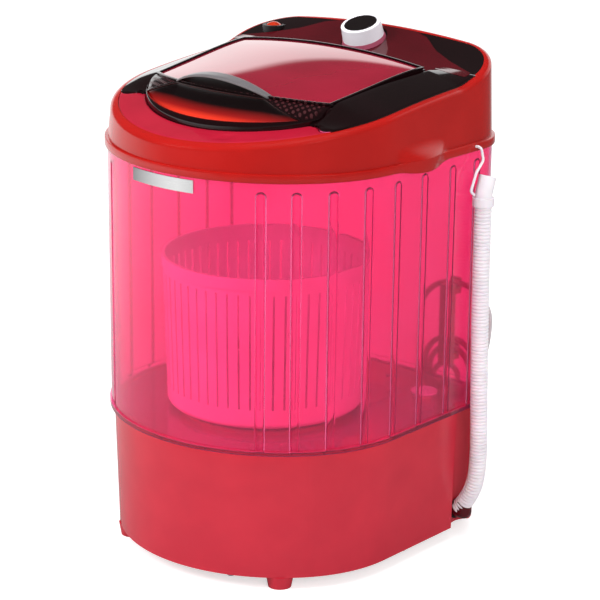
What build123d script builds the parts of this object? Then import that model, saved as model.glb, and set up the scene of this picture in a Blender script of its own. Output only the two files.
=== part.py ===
from build123d import *

import math
import os

os.makedirs("parts", exist_ok=True)

# Casing seen from above: a D shape with a three-centred front, about the tub axis
HALF_WIDTH = 181.0
FRONT_DEPTH = 165.0
BACK_DEPTH = 206.0
SIDE_CENTRE_X = 30.0
CORNER_RADIUS = 64.0

# Levels above the floor
FOOT_HEIGHT = 14.0
BASE_TOP = 153.5
LIP_HEIGHT = 5.5
TUB_TOP = 446.0
FLANGE_BOTTOM = 443.3
FLANGE_HEIGHT = 9.2
SEAL_HEIGHT = 3.5

# How far each wall stands inside the collar flange
BASE_BOTTOM_INSET = 11.5
BASE_TOP_INSET = 7.2
LIP_INSET = 2.2
TUB_BOTTOM_INSET = 4.0
TUB_TOP_INSET = 3.0
COLLAR_BOTTOM_INSET = 3.7
COLLAR_TOP_INSET = 6.5
SEAM_INSET = 15.0

# Wall thicknesses
BASE_WALL = 2.8
TUB_WALL = 2.6
TUB_FLOOR = 3.0
COLLAR_WALL = 2.8
DECK_WALL = 3.0
COVER_THICKNESS = 3.5
BASE_SHELF = 6.0
BOSS_HEIGHT = 22.0

# Gaps and fits
SEAT_GAP = 0.02
BODY_GAP = 0.6
RUN_FIT = 0.05

# Top surfaces: the seam rises to the rear along one large arc
SEAM_FRONT = (-150.0, 477.0)
SEAM_MIDDLE = (-20.0, 500.5)
SEAM_BREAK = (108.0, 513.0)
CROWN_HALF = 190.0
CROWN_RADIUS = 487.0
BAND_FRONT_Y = -92.0
BAND_FULL_Y = -44.0
REAR_SECTIONS = ((108.0, 511.8, 516.0), (140.0, 520.0, 524.0), (175.0, 531.0, 539.5), (212.0, 534.0, 557.0))
RAMP_REAR_Y = 129.0
SILL_CORNER = (109.0, -60.0)
SILL_SLOPE = 0.355
ROOF_FLOOR = 400.0
ROOF_SPACE = 600.0

# Flutes down the tub wall, by distance round it from the front centre
FLUTE_STATIONS = (111.0, 147.5, 186.0, 227.0, 268.6, 313.6, 362.0, 404.6)
FLUTE_RADIUS = 4.3
FLUTE_DEPTH = 3.0
FLUTE_TOP = 428.0

# Floor of the tub
DISH_RADIUS = 93.0
DISH_DEPTH = 15.0
NECK_RADIUS = 17.0
NECK_RISE = 4.0
POST_RADIUS = 7.0
DRAIN_X = 112.0
DRAIN_Y = 139.0
DRAIN_BORE = 8.5
DRAIN_WALL = 2.5
DRAIN_BOSS_DEPTH = 16.0
DRAIN_BOSS_WALL = 4.5
STRAINER_RADIUS = 14.5
STRAINER_THICKNESS = 2.0
STRAINER_DEPTH = 8.0
STRAINER_WALL = 1.5
STRAINER_HOLES = 6
STRAINER_HOLE_RADIUS = 1.3
STRAINER_HOLE_CIRCLE = 4.4

# Shaft, bearings and pulleys
SHAFT_RADIUS = 5.0
SHAFT_BOTTOM = 66.0
SHAFT_TOP = 160.0
BEARING_RADIUS = 13.0
BEARING_WIDTH = 8.0
BEARING_SHIELD_RADII = (10.5, 7.2)
BEARING_SHIELD_DEPTH = 0.6
BEARING_TOP_Z = 128.0
HOUSING_RADIUS = 17.0
HOUSING_SPIGOT_RADIUS = 16.4
HOUSING_TOP = 144.0
HOUSING_BORE = 11.0
HOUSING_BOTTOM = 92.0
HOUSING_FLANGE_RADIUS = 36.0
HOUSING_FLANGE_THICKNESS = 5.0
HOUSING_SCREW_CIRCLE = 27.0
HOUSING_SCREW_COVER = 0.6
SEAL_BOTTOM = 137.0
PULLEY_RADIUS = 62.0
PULLEY_WIDTH = 12.0
PULLEY_LEVEL = 78.0
MOTOR_PULLEY_RADIUS = 14.0
GROOVE_DEPTH = 5.0
BELT_THICKNESS = 4.0
BELT_WIDTH = 6.0
BELT_GAP = 0.5
MOTOR_Y = 116.0
MOTOR_RADIUS = 44.0
MOTOR_BOTTOM = 92.0
MOTOR_HEIGHT = 40.0
MOTOR_EDGE = 5.0
MOTOR_BOSS_RADIUS = 10.0
MOTOR_BOSS_LENGTH = 5.0
MOTOR_SHAFT_RADIUS = 4.0
BRACKET_THICKNESS = 2.5
BRACKET_WIDTH = 116.0
BRACKET_DEPTH = 78.0
BRACKET_Y = 133.0
BOLT_RADIUS = 2.2
BOLT_HEAD_RADIUS = 4.2
BOLT_HEAD_HEIGHT = 2.5
BOLT_LENGTH = 14.0
PULLEY_HOLES = 6
PULLEY_HOLE_RADIUS = 9.0
PULLEY_HOLE_CIRCLE = 34.0
NUT_RADIUS = 8.5
NUT_SIDES = 6
NUT_HEIGHT = 5.0

# Pulsator and basket
PULSATOR_RADIUS = 88.0
PULSATOR_THICKNESS = 4.0
PULSATOR_RISE = 3.0
PULSATOR_Z = 146.0
HUB_RADIUS = 17.0
HUB_TOP = 166.0
VANE_COUNT = 6
VANE_HEIGHT = 6.0
VANE_WIDTH = 5.0
VANE_LENGTH = 68.0
VANE_CIRCLE = 49.0
BASKET_FLOOR_Z = 160.0
BASKET_HEIGHT = 167.0
BASKET_TOP_RADIUS = 112.8
BASKET_BOTTOM_RADIUS = 107.0
BASKET_WALL = 2.2
BASKET_FLOOR = 3.0
BASKET_RIM_HEIGHT = 12.5
BASKET_RIM_PROUD = 1.2
BASKET_EDGE_RADIUS = 7.0
BASKET_HUB_RADIUS = 22.0
BASKET_HUB_EDGE = 2.0
SLOT_PAIRS = 28
SLOT_WIDTH = 2.4
SLOT_FOOT = 22.0
SLOT_HEAD = 18.0

# Lid seen from above, and its crowned top
LID_FRONT = 108.0
LID_CORNER_X = 121.5
LID_CORNER_Y = 43.0
LID_REAR_X = 127.5
LID_REAR_Y = 106.0
LID_SHOULDER = 83.0
LID_LIP_Z = 485.0
LID_SHOULDER_Z = 517.0
LID_WALL = 2.6
LID_SKIRT_REACH = 40.0
LID_CROWN_HALF = 130.0
LID_SECTIONS = (
    (-130.0, 490.0, 504.0),
    (-96.0, 499.0, 513.0),
    (-43.0, 507.7, 522.0),
    (30.0, 518.5, 531.0),
    (116.0, 526.8, 536.0),
)
LID_FOOT_FRONT = (-108.0, 481.0)
LID_FOOT_REAR = (106.0, 517.5)
WINDOW_FRAME = 6.0
WINDOW_FRONT = 62.0
WINDOW_CORNER = (116.0, 38.0)
WINDOW_LIP = 3.0
SKIRT_CLEARANCE = 0.6
SCOOP_CENTRE = (-90.0, 513.0)
SCOOP_HALF_LENGTH = 98.0
SCOOP_RADIUS = 24.5
SCOOP_WALL = 1.6
HANDLE_SPAN = 122.0
HANDLE_RISE = 11.0
HANDLE_FOOT_Z = 518.5
HANDLE_THICKNESS = 3.0
HANDLE_LEG = 12.0
HANDLE_HAUNCH = 0.8
HANDLE_DEPTH = 15.0
HANDLE_Y = -76.0
LEDGE_WIDTH = 9.0
HINGE_X = 110.0
HINGE_Y = 111.0
HINGE_Z = 521.5
HINGE_RADIUS = 4.2
HINGE_PIN_RADIUS = 1.6
KNUCKLE_LENGTH = 14.0
EAR_LENGTH = 4.0
EAR_FOOT = 9.0

# Panel, timer and knob, on an axis that leans to the front
PANEL_RISE = 2.5
PANEL_OUTLINE = (
    (163.0, 129.0),
    (163.0, 139.0),
    (126.0, 152.0),
    (97.0, 165.0),
    (72.0, 182.0),
    (52.0, 188.0),
)
PANEL_FRONT = (114.0, 119.0)
PANEL_CORNER = 4.0
KNOB_TILT = 19.5
KNOB_SEAT = (161.1, 539.0)
KNOB_RADIUS = 23.1
KNOB_TOP_RADIUS = 22.2
KNOB_HEIGHT = 16.5
KNOB_WALL = 2.4
KNOB_CHAMFER = 0.8
CAP_RADIUS = 18.4
CAP_THICKNESS = 2.0
SKIRT_RADIUS = 25.0
SKIRT_FOOT = 4.6
SKIRT_STEP = 0.4
SKIRT_BORE = 10.0
TIMER_SHAFT_RADIUS = 3.0
TIMER_SIDE = 42.0
TIMER_CORNER = 3.0
TIMER_DEPTH = 26.0
TIMER_DROP = 12.0
TIMER_BORE_DEPTH = 20.0
SEAT_DROP = 5.2
SEAT_RADIUS = 26.5
SEAT_THICKNESS = 2.5
TIMER_OPENING = 31.0
TIMER_SHAFT_LENGTH = 34.0
KNOB_BOSS_RADIUS = 6.0
KNOB_BOSS_BORE_DEPTH = 10.0
POINTER_WIDTH = 3.0
POINTER_DEPTH = 1.2
POINTER_ANGLE = 150.0
INLET_NECK = 11.0
INLET_X = -134.5
INLET_Y = 166.3
INLET_TOP = 535.2
INLET_RADIUS = 13.0
INLET_BORE = 9.0
INLET_THROAT = 7.0
INLET_DEPTH = 20.0
INLET_NECK_DEPTH = 24.0
INLET_SEAT = 12.0
INLET_DOME = 4.0

# Grips, badge and hook
GRIP_Y = 38.0
GRIP_LENGTH = 84.0
GRIP_BOTTOM = 434.0
GRIP_TOP = 462.0
GRIP_PROUD = 9.0
GRIP_WALL = 3.0
GRIP_CORNER = 9.0
GRIP_ROOT = 5.0
GRIP_DROOP = 3.0
GRIP_TIP_LENGTH = 58.0
GRIP_TIP_HEIGHT = 14.0
GRIP_TIP_CORNER = 6.0
GRIP_POCKET_LENGTH = 54.0
GRIP_POCKET_HEIGHT = 15.0
BADGE_X = -3.5
BADGE_WIDTH = 85.0
BADGE_HEIGHT = 13.5
BADGE_TOP = 440.5
BADGE_THICKNESS = 1.2
HOOK_WIRE_RADIUS = 1.5
HOOK_ROOT_Y = 128.0
HOOK_ROOT_Z = 449.0
HOOK_HOLE_DEPTH = 2.8
HOOK_ROOT_DEPTH = 2.5
HOOK_PLANE_X = 187.5
HOOK_BENDS = ((128.0, 449.0), (133.0, 434.0), (121.0, 423.0), (112.0, 404.0), (118.0, 399.0))
HOOK_BEND_RADII = (4.0, 5.0, 8.0, 3.0)

# Drain hose in a recess of the right rear corner
RECESS_X = 183.0
RECESS_Y = 139.0
RECESS_RADIUS = 23.0
PIPE_Z = 30.0
PIPE_END_X = 163.0
PIPE_BEND = 22.0
ELBOW_RADIUS = 9.0
ELBOW_BORE = 6.4
ELBOW_TOP = 42.0
HOSE_RADIUS = 9.8
HOSE_ROOT_RADIUS = 8.9
HOSE_BORE = 7.4
HOSE_RIBS = 130
RIB_PROFILE = ((0.1, 8.9), (0.3, 9.8), (0.7, 9.8), (0.9, 8.9))
HOSE_ROUTE = (
    (172.6, 139.0, 42.0),
    (172.6, 139.0, 74.0),
    (185.0, 138.0, 112.0),
    (190.5, 134.0, 175.0),
    (191.5, 130.5, 270.0),
    (191.5, 129.5, 350.0),
    (191.5, 129.5, 386.0),
)
HOSE_BENDS = (40.0, 110.0, 300.0, 600.0, 900.0)
NOZZLE_COLLAR_RADIUS = 11.6
NOZZLE_COLLAR_LENGTH = 12.0
NOZZLE_RADIUS = 9.4
NOZZLE_LENGTH = 20.0
NOZZLE_TILT = 20.0
NOZZLE_BEND = 18.0
NOZZLE_BORE = 6.6

# Feet and fixings
FOOT_RADIUS = 15.0
FOOT_TIP_RADIUS = 12.5
FOOT_SPREAD_X = 108.0
FOOT_FRONT_Y = -100.0
FOOT_REAR_Y = 150.0
SCREW_RADIUS = 2.0
SCREW_HEAD_RADIUS = 4.0
SCREW_HEAD_HEIGHT = 2.4
SCREW_LENGTH = 12.0
SCREW_BOSS_WALL = 3.0
COVER_SCREW_FRONT = 70.0
COVER_SCREW_SIDE_Y = 40.0
COVER_SCREW_REAR_X = -90.0
VENT_COUNT = 7
VENT_PITCH = 9.0
VENT_LENGTH = 70.0
VENT_WIDTH = 3.5

# Capacitor on the bottom cover
CAPACITOR_X = -104.0
CAPACITOR_Y = 96.0
CAPACITOR_RADIUS = 17.0
CAPACITOR_HEIGHT = 52.0
CAPACITOR_EDGE = 1.5
TERMINAL_RADIUS = 2.0
TERMINAL_OFFSET = 6.0
TERMINAL_HEIGHT = 8.0
CLAMP_THICKNESS = 1.5
CLAMP_HEIGHT = 14.0
CLAMP_LENGTH = 54.0
CLAMP_WIDTH = 14.0

# Mains lead, hung in loops behind the back wall
CORD_RADIUS = 3.2
CORD_PLANE = 217.0
CORD_EXIT_X = 46.0
RELIEF_Z = 82.0
RELIEF_TOP = 103.0
RELIEF_RADIUS = 3.8
RELIEF_REACH = 24.0
RELIEF_TIP_RADIUS = 3.6
RELIEF_PLATE = (20.0, 16.0)
RELIEF_CORNER = 3.0
TAIL_TOP = 135.0
LOOP_RIGHT_X = 136.0
LOOP_PITCH = 7.4
LOOP_TOPS = (264.0, 197.0, 186.0)
LOOP_BOTTOMS = (44.0, 53.0, 62.0)
LAST_TOP_Z = 165.0
LAST_RADIUS = 18.0
PLUG_Z = 140.0
PLUG_RADIUS = 11.0
PLUG_SHOULDER_RADIUS = 8.0
PLUG_LENGTH = 34.0
PLUG_FACE_DEPTH = 6.0
PLUG_NECK_RADIUS = 5.0
PLUG_NECK_LENGTH = 8.0
CLEAT_X = 91.0
CLEAT_WIDTH = 14.0
CLEAT_THICKNESS = 3.0
CLEAT_PEG_HEIGHT = 7.0
CLEAT_LIP = 9.0
CLEAT_SPAN = (168.0, 262.0)
CLEAT_GAP = 0.5
PLUG_PIN_RADIUS = 2.0
PLUG_PIN_LENGTH = 17.0
PLUG_PIN_SPACING = 10.0

# The tub axis stands this far behind the middle of the box round everything but the lead and hose
REAR_REACH = CORD_PLANE + CORD_RADIUS + CLEAT_GAP + CLEAT_THICKNESS
AXIS_Y = (FRONT_DEPTH - REAR_REACH) / 2


def level(z, y=0.0):
    """Horizontal plane at height z, its origin y behind the tub axis."""
    return Plane((0, AXIS_Y + y, z))


def upright(y):
    """Vertical plane facing the front, y behind the tub axis, its own y axis pointing up."""
    return Plane(origin=(0, AXIS_Y + y, 0), x_dir=(1, 0, 0), z_dir=(0, -1, 0))


def sideways(x):
    """Vertical plane facing right, its x axis pointing to the rear and its y axis up."""
    return Plane(origin=(x, AXIS_Y, 0), x_dir=(0, 1, 0), z_dir=(1, 0, 0))


def save(builder, node):
    """Label the finished piece and write its STEP file."""
    builder.part.label = node
    export_step(builder.part, f"parts/{node}.step")


def front_arcs(inset):
    """Centre and radius of the front arc, and the angle each way that it spans."""
    front = FRONT_DEPTH - inset
    side_radius = HALF_WIDTH - SIDE_CENTRE_X - inset
    radius = (front**2 + SIDE_CENTRE_X**2 - side_radius**2) / (2 * (front - side_radius))
    centre = radius - front
    return centre, radius, math.degrees(math.atan2(SIDE_CENTRE_X, centre))


def outline(inset):
    """The casing seen from above, inset from the edge of the collar flange."""
    half, back, corner = HALF_WIDTH - inset, BACK_DEPTH - inset, CORNER_RADIUS - inset
    side_radius = half - SIDE_CENTRE_X
    centre, radius, span = front_arcs(inset)
    with BuildSketch() as shape:
        with BuildLine():
            CenterArc((0, centre), radius, 270 - span, 2 * span)
            CenterArc((SIDE_CENTRE_X, 0), side_radius, span - 90, 90 - span)
            Line((half, 0), (half, back - corner))
            CenterArc((half - corner, back - corner), corner, 0, 90)
            Line((half - corner, back), (corner - half, back))
            CenterArc((corner - half, back - corner), corner, 90, 90)
            Line((-half, back - corner), (-half, 0))
            CenterArc((-SIDE_CENTRE_X, 0), side_radius, 180, 90 - span)
        make_face()
    return shape.sketch


def prism(inset, bottom, top):
    """Straight block over the casing outline."""
    with BuildPart() as block:
        with BuildSketch(level(bottom)):
            add(outline(inset))
        extrude(amount=top - bottom)
    return block.part


def frustum(low_inset, bottom, high_inset, top):
    """Drafted block over the casing outline."""
    with BuildPart() as block:
        with BuildSketch(level(bottom)):
            add(outline(low_inset))
        with BuildSketch(level(top)):
            add(outline(high_inset))
        loft(ruled=True)
    return block.part


def wall_inset(bottom, low_inset, top, high_inset, z):
    """Inset of a drafted wall at height z."""
    return low_inset + (high_inset - low_inset) * (z - bottom) / (top - bottom)


def rod(radius, bottom, top, x=0.0, y=0.0):
    """Upright cylinder, placed from the tub axis."""
    with BuildPart() as piece:
        with BuildSketch(level(bottom)):
            with Locations((x, y)):
                Circle(radius)
        extrude(amount=top - bottom)
    return piece.part


def tube(outer, inner, bottom, top, x=0.0, y=0.0):
    """Upright tube, placed from the tub axis."""
    with BuildPart() as piece:
        with BuildSketch(level(bottom)):
            with Locations((x, y)):
                Circle(outer)
                Circle(inner, mode=Mode.SUBTRACT)
        extrude(amount=top - bottom)
    return piece.part


def seam_height(y):
    """Height of the collar's top edge, y behind the tub axis, ahead of the rear deck."""
    (y1, z1), (y2, z2), (y3, z3) = SEAM_FRONT, SEAM_MIDDLE, SEAM_BREAK
    low, high = (z2 - z1) / (y2 - y1), (z3 - z2) / (y3 - y2)
    return z1 + low * (y - y1) + (high - low) / (y3 - y1) * (y - y1) * (y - y2)


def crowned(sections, half, drop=0.0):
    """Block under a crowned surface, given sections of y, edge height and middle height."""
    with BuildPart() as block:
        for y, edge, middle in sections:
            with BuildSketch(upright(y)):
                with BuildLine():
                    left, right = (-half, edge - drop), (half, edge - drop)
                    ThreePointArc(left, (0, middle - drop), right)
                    Polyline(right, (half, ROOF_FLOOR), (-half, ROOF_FLOOR), left)
                make_face()
        loft()
    return block.part


def rear_roof(drop=0.0):
    """Block under the rear deck."""
    return crowned(REAR_SECTIONS, CROWN_HALF, drop)


def front_roof(drop=0.0):
    """Block under the collar's top edge, ahead of the rear deck."""
    with BuildPart() as block:
        with BuildSketch(sideways(0)):
            with BuildLine():
                far = -CROWN_HALF
                middle = (far + SEAM_BREAK[0]) / 2
                ThreePointArc(
                    (far, seam_height(far) - drop),
                    (middle, seam_height(middle) - drop),
                    (SEAM_BREAK[0], seam_height(SEAM_BREAK[0]) - drop),
                )
                Polyline(
                    (SEAM_BREAK[0], seam_height(SEAM_BREAK[0]) - drop),
                    (SEAM_BREAK[0], ROOF_FLOOR),
                    (far, ROOF_FLOOR),
                    (far, seam_height(far) - drop),
                )
            make_face()
        extrude(amount=CROWN_HALF, both=True)
    return block.part


def band_roof(drop=0.0):
    """Block under the crowned band that runs along both sides of the lid."""
    crown = CROWN_RADIUS - math.sqrt(CROWN_RADIUS**2 - CROWN_HALF**2)
    seam_half = HALF_WIDTH - SEAM_INSET
    rise = CROWN_RADIUS - math.sqrt(CROWN_RADIUS**2 - seam_half**2)
    sections = [(BAND_FRONT_Y, seam_height(BAND_FRONT_Y) - 1, seam_height(BAND_FRONT_Y))]
    for y in (BAND_FULL_Y, (BAND_FULL_Y + SEAM_BREAK[0]) / 2, SEAM_BREAK[0]):
        middle = seam_height(y) + rise
        sections.append((y, middle - crown, middle))
    return crowned(sections, CROWN_HALF, drop)


def lid_plan(front, inset=0.0):
    """The lid seen from above: an arc in front, straight sides and a straight rear edge."""
    corner_x, corner_y = LID_CORNER_X - inset, -LID_CORNER_Y
    rear_x, rear_y = LID_REAR_X - inset, LID_REAR_Y - inset
    with BuildSketch() as shape:
        with BuildLine():
            ThreePointArc((-corner_x, corner_y), (0, inset - front), (corner_x, corner_y))
            Polyline((corner_x, corner_y), (rear_x, rear_y), (-rear_x, rear_y), (-corner_x, corner_y))
        make_face()
    return shape.sketch


def lid_body(inset=0.0, drop=0.0):
    """Block inside the lid's outer skin, with its slanted front apron."""
    with BuildPart() as block:
        with BuildSketch(level(LID_LIP_Z - drop)):
            add(lid_plan(LID_FRONT, inset))
        with BuildSketch(level(LID_SHOULDER_Z - drop)):
            add(lid_plan(LID_SHOULDER, inset))
        loft(ruled=True)
        with BuildSketch(level(LID_LIP_Z - drop)):
            add(lid_plan(LID_FRONT, inset))
        extrude(amount=-LID_SKIRT_REACH)
        with BuildSketch(level(LID_SHOULDER_Z - drop)):
            add(lid_plan(LID_SHOULDER, inset))
        extrude(amount=LID_SKIRT_REACH)
        add(crowned(LID_SECTIONS, LID_CROWN_HALF, drop), mode=Mode.INTERSECT)
    return block.part


def lid_foot(lift=0.0):
    """Block under the slanted plane on which the lid closes, or under one lifted from it."""
    (y1, z1), (y2, z2) = LID_FOOT_FRONT, LID_FOOT_REAR
    slope = (z2 - z1) / (y2 - y1)
    near, far = -CROWN_HALF, CROWN_HALF
    with BuildPart() as block:
        with BuildSketch(sideways(0)):
            with BuildLine():
                Polyline(
                    (near, z1 + slope * (near - y1) + lift),
                    (far, z1 + slope * (far - y1) + lift),
                    (far, ROOF_FLOOR),
                    (near, ROOF_FLOOR),
                    close=True,
                )
            make_face()
        extrude(amount=CROWN_HALF, both=True)
    return block.part


def station(distance, inset):
    """Plan point on the casing outline, by distance round it from the front."""
    centre, radius, span = front_arcs(inset)
    side_radius = HALF_WIDTH - inset - SIDE_CENTRE_X
    first = radius * math.radians(span)
    second = first + side_radius * math.radians(90 - span)
    if distance < first:
        angle = distance / radius
        return radius * math.sin(angle), centre - radius * math.cos(angle)
    if distance < second:
        angle = math.radians(span) + (distance - first) / side_radius
        return SIDE_CENTRE_X + side_radius * math.sin(angle), -side_radius * math.cos(angle)
    return HALF_WIDTH - inset, distance - second


def flutes(radius, bottom, top, inset):
    """Upright rounded bars at every flute station, on both sides."""
    with BuildPart() as bars:
        with BuildSketch(level(bottom)):
            for distance in FLUTE_STATIONS:
                x, y = station(distance, inset)
                with Locations((x, y), (-x, y)):
                    Circle(radius)
        extrude(amount=top - bottom)
        for distance in FLUTE_STATIONS:
            x, y = station(distance, inset)
            with Locations((x, AXIS_Y + y, top), (-x, AXIS_Y + y, top)):
                Sphere(radius)
    return bars.part


def make_base_housing():
    """Opaque lower casing, with the drain recess in its right rear corner."""
    bottom, low, high = FOOT_HEIGHT, BASE_BOTTOM_INSET, BASE_TOP_INSET
    with BuildPart() as recess_wall:
        add(rod(RECESS_RADIUS + BASE_WALL, bottom, BASE_TOP, RECESS_X, RECESS_Y))
        add(frustum(low + SEAT_GAP, bottom, high + SEAT_GAP, BASE_TOP), mode=Mode.INTERSECT)
    with BuildPart() as base_housing:
        add(frustum(low, bottom, high, BASE_TOP))
        add(frustum(low + BASE_WALL, bottom, high + BASE_WALL, BASE_TOP), mode=Mode.SUBTRACT)
        with BuildSketch(level(BASE_TOP - BASE_WALL)):
            add(outline(high + BASE_WALL / 2))
            add(outline(high + BASE_WALL + BASE_SHELF), mode=Mode.SUBTRACT)
        extrude(amount=BASE_WALL)
        add(recess_wall.part)
        add(rod(RECESS_RADIUS, bottom - 1, BASE_TOP + 1, RECESS_X, RECESS_Y), mode=Mode.SUBTRACT)
        with BuildSketch(Plane((RECESS_X, AXIS_Y + DRAIN_Y, PIPE_Z), z_dir=(-1, 0, 0))):
            Circle(DRAIN_BORE + DRAIN_WALL + SEAT_GAP)
        extrude(amount=RECESS_RADIUS + 3 * BASE_WALL, mode=Mode.SUBTRACT)
        with BuildSketch(upright(BACK_DEPTH + 1)):
            with Locations((CORD_EXIT_X, RELIEF_Z)):
                Circle(RELIEF_RADIUS + SEAT_GAP)
        extrude(amount=RELIEF_REACH, mode=Mode.SUBTRACT)
        for x, y in cover_screw_places():
            add(rod(SCREW_RADIUS + SCREW_BOSS_WALL, bottom + COVER_THICKNESS, bottom + BOSS_HEIGHT, x, y))
        for x, y in cover_screw_places():
            add(
                rod(SCREW_RADIUS + SEAT_GAP, bottom, bottom + SCREW_LENGTH + 1, x, y),
                mode=Mode.SUBTRACT,
            )
    save(base_housing, "base_housing")


def cover_screw_places():
    """Plan places of the cover's screws, on bosses against the base wall."""
    inset = BASE_BOTTOM_INSET + BASE_WALL + SCREW_RADIUS + 2
    side = HALF_WIDTH - inset
    front_x, front_y = station(COVER_SCREW_FRONT, inset)
    return (
        (side, COVER_SCREW_SIDE_Y),
        (-side, COVER_SCREW_SIDE_Y),
        (front_x, front_y),
        (-front_x, front_y),
        (COVER_SCREW_REAR_X, BACK_DEPTH - inset),
    )


def make_bottom_cover():
    """Plate that closes the base from below, with air slots, and its screws."""
    inset = BASE_BOTTOM_INSET + BASE_WALL + SEAT_GAP
    with BuildPart() as bottom_cover:
        add(prism(inset, FOOT_HEIGHT, FOOT_HEIGHT + COVER_THICKNESS))
        add(
            rod(RECESS_RADIUS + BASE_WALL + SEAT_GAP, 0, BASE_TOP, RECESS_X, RECESS_Y),
            mode=Mode.SUBTRACT,
        )
        for x, y in cover_screw_places():
            add(rod(SCREW_RADIUS + SEAT_GAP, 0, BASE_TOP, x, y), mode=Mode.SUBTRACT)
        with BuildSketch(level(FOOT_HEIGHT)):
            with GridLocations(0, VENT_PITCH, 1, VENT_COUNT):
                SlotOverall(VENT_LENGTH, VENT_WIDTH)
        extrude(amount=COVER_THICKNESS, mode=Mode.SUBTRACT)
    save(bottom_cover, "bottom_cover")

    with BuildPart() as cover_screws:
        for x, y in cover_screw_places():
            add(rod(SCREW_HEAD_RADIUS, FOOT_HEIGHT - SCREW_HEAD_HEIGHT, FOOT_HEIGHT, x, y))
            add(rod(SCREW_RADIUS, FOOT_HEIGHT - 1, FOOT_HEIGHT + SCREW_LENGTH, x, y))
    save(cover_screws, "cover_screws")


def make_feet():
    """Four tapered feet."""
    with BuildPart() as feet:
        for x, y in foot_places():
            with Locations((x, AXIS_Y + y, FOOT_HEIGHT / 2)):
                Cone(FOOT_TIP_RADIUS, FOOT_RADIUS, FOOT_HEIGHT)
    save(feet, "feet")


def foot_places():
    """Plan places of the feet."""
    return (
        (FOOT_SPREAD_X, FOOT_FRONT_Y),
        (-FOOT_SPREAD_X, FOOT_FRONT_Y),
        (FOOT_SPREAD_X, FOOT_REAR_Y),
        (-FOOT_SPREAD_X, FOOT_REAR_Y),
    )


def tub_backing():
    """Thicker wall behind the flutes, bulging into the tub."""
    inset = (TUB_BOTTOM_INSET + TUB_TOP_INSET) / 2 - FLUTE_RADIUS + FLUTE_DEPTH
    floor_top = BASE_TOP + TUB_FLOOR
    with BuildPart() as backing:
        add(flutes(FLUTE_RADIUS + TUB_WALL, floor_top, FLUTE_TOP, inset))
        add(
            frustum(TUB_BOTTOM_INSET + 1, floor_top, TUB_TOP_INSET + 1, TUB_TOP),
            mode=Mode.INTERSECT,
        )
    return backing.part


def make_tub():
    """Translucent wash tub: fluted wall, dished floor, shaft neck, drain boss and motor posts."""
    floor_top = BASE_TOP + TUB_FLOOR
    dish_top = floor_top - DISH_DEPTH
    inset = (TUB_BOTTOM_INSET + TUB_TOP_INSET) / 2 - FLUTE_RADIUS + FLUTE_DEPTH
    boss = DRAIN_BORE + DRAIN_BOSS_WALL
    with BuildPart() as tub:
        add(frustum(TUB_BOTTOM_INSET, BASE_TOP, TUB_TOP_INSET, TUB_TOP))
        add(prism(LIP_INSET, BASE_TOP, BASE_TOP + LIP_HEIGHT))
        add(
            frustum(TUB_BOTTOM_INSET + TUB_WALL, floor_top, TUB_TOP_INSET + TUB_WALL, TUB_TOP),
            mode=Mode.SUBTRACT,
        )
        add(tub_backing())
        add(rod(DISH_RADIUS + TUB_FLOOR, dish_top - TUB_FLOOR, BASE_TOP + 1))
        add(rod(boss, BASE_TOP - DRAIN_BOSS_DEPTH, BASE_TOP + 1, DRAIN_X, DRAIN_Y))
        for x, y in bracket_posts():
            add(rod(POST_RADIUS, bracket_top(), BASE_TOP + 1, x, y))
        add(rod(DISH_RADIUS, dish_top, floor_top + 1), mode=Mode.SUBTRACT)
        add(rod(NECK_RADIUS + TUB_FLOOR, dish_top - 1, dish_top + NECK_RISE))
        add(rod(NECK_RADIUS, dish_top - 2 * TUB_FLOOR, dish_top + 2 * NECK_RISE), mode=Mode.SUBTRACT)
        add(
            rod(DRAIN_BORE, BASE_TOP - DRAIN_BOSS_DEPTH - 1, floor_top + 1, DRAIN_X, DRAIN_Y),
            mode=Mode.SUBTRACT,
        )
        for x, y in bracket_posts():
            bolt_hole = rod(BOLT_RADIUS + SEAT_GAP, bracket_top() - 1, BASE_TOP - TUB_FLOOR, x, y)
            add(bolt_hole, mode=Mode.SUBTRACT)
        screw_end = dish_top - HOUSING_SCREW_COVER
        for x, y in housing_screw_places():
            screw_hole = rod(SCREW_RADIUS + SEAT_GAP, dish_top - 2 * TUB_FLOOR, screw_end, x, y)
            add(screw_hole, mode=Mode.SUBTRACT)
        add(flutes(FLUTE_RADIUS, BASE_TOP + LIP_HEIGHT, FLUTE_TOP, inset), mode=Mode.SUBTRACT)
    save(tub, "tub")


def bracket_top():
    """Height of the upper face of the motor bracket."""
    return MOTOR_BOTTOM + MOTOR_HEIGHT + BRACKET_THICKNESS


def bracket_posts():
    """Plan places of the four posts under the tub that carry the motor."""
    x, y = BRACKET_WIDTH / 2 - POST_RADIUS - 2, BRACKET_DEPTH / 2 - POST_RADIUS - 2
    return tuple((sx * x, BRACKET_Y + sy * y) for sx in (1, -1) for sy in (1, -1))


def housing_screw_places():
    """Plan places of the four screws that hold the bearing housing under the tub."""
    reach = HOUSING_SCREW_CIRCLE * math.sqrt(0.5)
    return tuple((sx * reach, sy * reach) for sx in (1, -1) for sy in (1, -1))


def collar_hollow():
    """Space inside the collar, under its rolled top edge."""
    low, high = COLLAR_BOTTOM_INSET + COLLAR_WALL, COLLAR_TOP_INSET + COLLAR_WALL
    with BuildPart() as lowered:
        add(front_roof(COLLAR_WALL))
        add(rear_roof(COLLAR_WALL))
    with BuildPart() as hollow:
        add(frustum(low, FLANGE_BOTTOM, high, ROOF_SPACE))
        add(lowered.part, mode=Mode.INTERSECT)
    return hollow.part


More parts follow.
